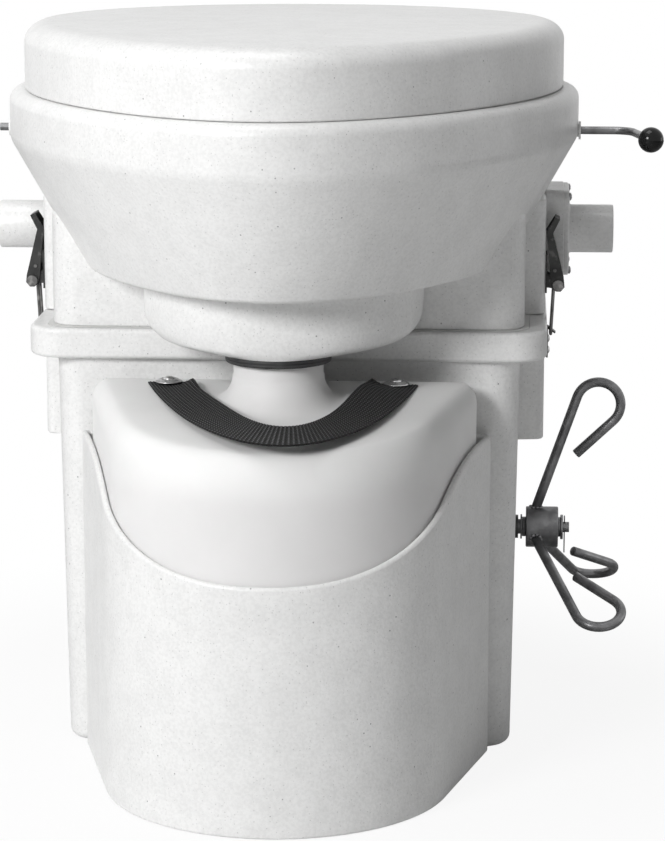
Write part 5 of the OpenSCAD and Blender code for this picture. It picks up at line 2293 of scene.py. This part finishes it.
# ---- carried-over nodes -----------------------------------------------------------------------

CARRIED: dict[str, str] = {
    "base_seal": "pale_seal", "cradle_screws": "stainless", "shaft_bushings": "dark_plastic",
    "stirrer_shaft": "dark_steel", "stirrer_tines": "stainless", "shaft_collar": "stainless",
    "rear_hinge_base": "shell", "rear_hinge_top": "shell", "rear_hinge_pins": "stainless",
    "drain_tube": "liner", "trap_door": "liner", "trap_pivot": "dark_steel",
    "lever_bushings": "shell", "seat_bumpers": "rubber", "seat_hinge_pins": "stainless",
    "bracket_screws": "stainless", "fan_frame": "dark_plastic", "fan_rotor": "dark_plastic",
    "fan_screws": "dark_steel", "vent_screen": "stainless", "latch_plates": "latch_steel",
    "latch_rivets": "bail_wire", "latch_lever_right": "latch_steel",
    "latch_lever_left": "latch_steel", "latch_bail_right": "bail_wire",
    "latch_bail_left": "bail_wire", "latch_keepers": "latch_steel",
    "keeper_screws": "stainless",
}


def dress_carried() -> None:
    """Gives the CAD nodes that stay their finishes."""
    for name, key in CARRIED.items():
        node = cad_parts[name]
        node.data.materials.clear()
        node.data.materials.append(WARDROBE.material(key))
        log.info("%s stays, in %s", name, key)


# ---- studio -----------------------------------------------------------------------------------


@dataclass(frozen=True)
class Lamp:
    """A soft square lamp that points at the object."""

    name: str
    place: Point
    size: float
    watts: float
    target: Point = (0.0, 0.0, 0.3)

    def build(self) -> None:
        """Makes the lamp."""
        data = bpy.data.lights.new(self.name, "AREA")
        data.shape = "SQUARE"
        data.size = self.size
        data.energy = self.watts
        lamp = in_scene(self.name, data)
        lamp.location = self.place
        away = Vector(self.place) - Vector(self.target)
        lamp.rotation_mode = "QUATERNION"
        lamp.rotation_quaternion = away.to_track_quat("Z", "Y")


@dataclass
class Studio:
    """Camera, lamps, world and the pale floor."""

    eye: Point = (0.1694, -2.2536, 0.7161)
    yaw: float = 3.48
    pitch: float = 11.683
    lens: float = 127.1
    sensor: float = 36
    ambient: float = 0.115
    lamps: tuple[Lamp, ...] = (
        Lamp("key_left", (-1.56, -2.47, 1.6), 0.9, 74),
        Lamp("side_left", (-2.6, 0.3, 0.8), 1.2, 4),
        Lamp("top_soft", (-0.3, -0.2, 2.6), 1.2, 19),
        Lamp("right_edge", (2.3, 0.6, 0.5), 0.7, 3),
    )

    def camera(self) -> None:
        """Sets the camera at the photograph's place."""
        data = bpy.data.cameras.new("camera")
        data.lens = self.lens
        data.sensor_width = self.sensor
        data.clip_end = 60
        camera = in_scene("camera", data)
        yaw, pitch = math.radians(self.yaw), math.radians(self.pitch)
        ahead = Vector(
            (-math.sin(yaw) * math.cos(pitch), math.cos(yaw) * math.cos(pitch), -math.sin(pitch))
        )
        camera.location = self.eye
        camera.rotation_mode = "QUATERNION"
        camera.rotation_quaternion = ahead.to_track_quat("-Z", "Y")
        bpy.context.scene.camera = camera

    def world(self) -> None:
        """A white surround to look at, and a softer one to be lit by."""
        world = bpy.data.worlds.new("surround")
        world.use_nodes = True
        tree = Tree(world.node_tree)
        path = tree.node("ShaderNodeLightPath").outputs
        seen = Value(tree, path["Is Camera Ray"])
        for ray in ("Is Glossy Ray", "Is Transmission Ray"):
            seen = seen.either(Value(tree, path[ray]))
        lit, white = (
            tree.node("ShaderNodeBackground", None, {"Color": WHITE, "Strength": strength})
            for strength in (self.ambient, 1)
        )
        both = tree.node(
            "ShaderNodeMixShader", None, {0: seen, 1: lit.outputs[0], 2: white.outputs[0]}
        )
        tree.node("ShaderNodeOutputWorld", None, {"Surface": both.outputs[0]})
        bpy.context.scene.world = world

    def floor(self) -> None:
        """A white floor that keeps a soft shadow near the object and fades into the surround."""
        bm = bmesh.new()
        bmesh.ops.create_grid(bm, x_segments=1, y_segments=1, size=4)
        mesh = bpy.data.meshes.new("floor")
        bm.to_mesh(mesh)
        bm.free()
        floor = in_scene("floor", mesh)
        floor.location = (0, 0, -0.0005)
        shader = Shader("floor_white")
        seen = Value(shader, shader.node("ShaderNodeLightPath").outputs["Is Camera Ray"])
        radius = shader.node(
            "ShaderNodeVectorMath", {"operation": "LENGTH"}, {0: shader.place}
        ).outputs["Value"]
        share = Value(shader, radius).ramp(0.26, 0.6) * 0.1 + 0.9
        matt = shader.node("ShaderNodeBsdfDiffuse", None, {"Color": (0.86, 0.86, 0.86, 1)})
        glow = shader.node("ShaderNodeEmission", None, {"Color": WHITE, "Strength": 1.0})
        both = shader.node(
            "ShaderNodeMixShader", None, {0: seen * share, 1: matt.outputs[0], 2: glow.outputs[0]}
        )
        shader.node("ShaderNodeOutputMaterial", None, {"Surface": both.outputs[0]})
        mesh.materials.append(shader.material)

    def build(self) -> None:
        """Sets up the studio."""
        self.camera()
        self.world()
        self.floor()
        for lamp in self.lamps:
            lamp.build()
        bpy.context.scene.view_settings.view_transform = "Standard"
        log.info("studio ready, %d lamps", len(self.lamps))


def main() -> None:
    """Builds the studio and every sub-assembly in order, then gives the CAD nodes that stay their
    finishes.
    """
    logging.basicConfig(level=logging.INFO, format="%(name)s: %(message)s")
    Studio().build()
    for part in (
        Base(), Cradle(), Housing(), Outlet(), Bowl(), SeatAndLid(), Vent(), Crank(), Bottle(),
        Strap(),
    ):
        part.build()
    dress_carried()


if __name__ == "__main__":
    main()
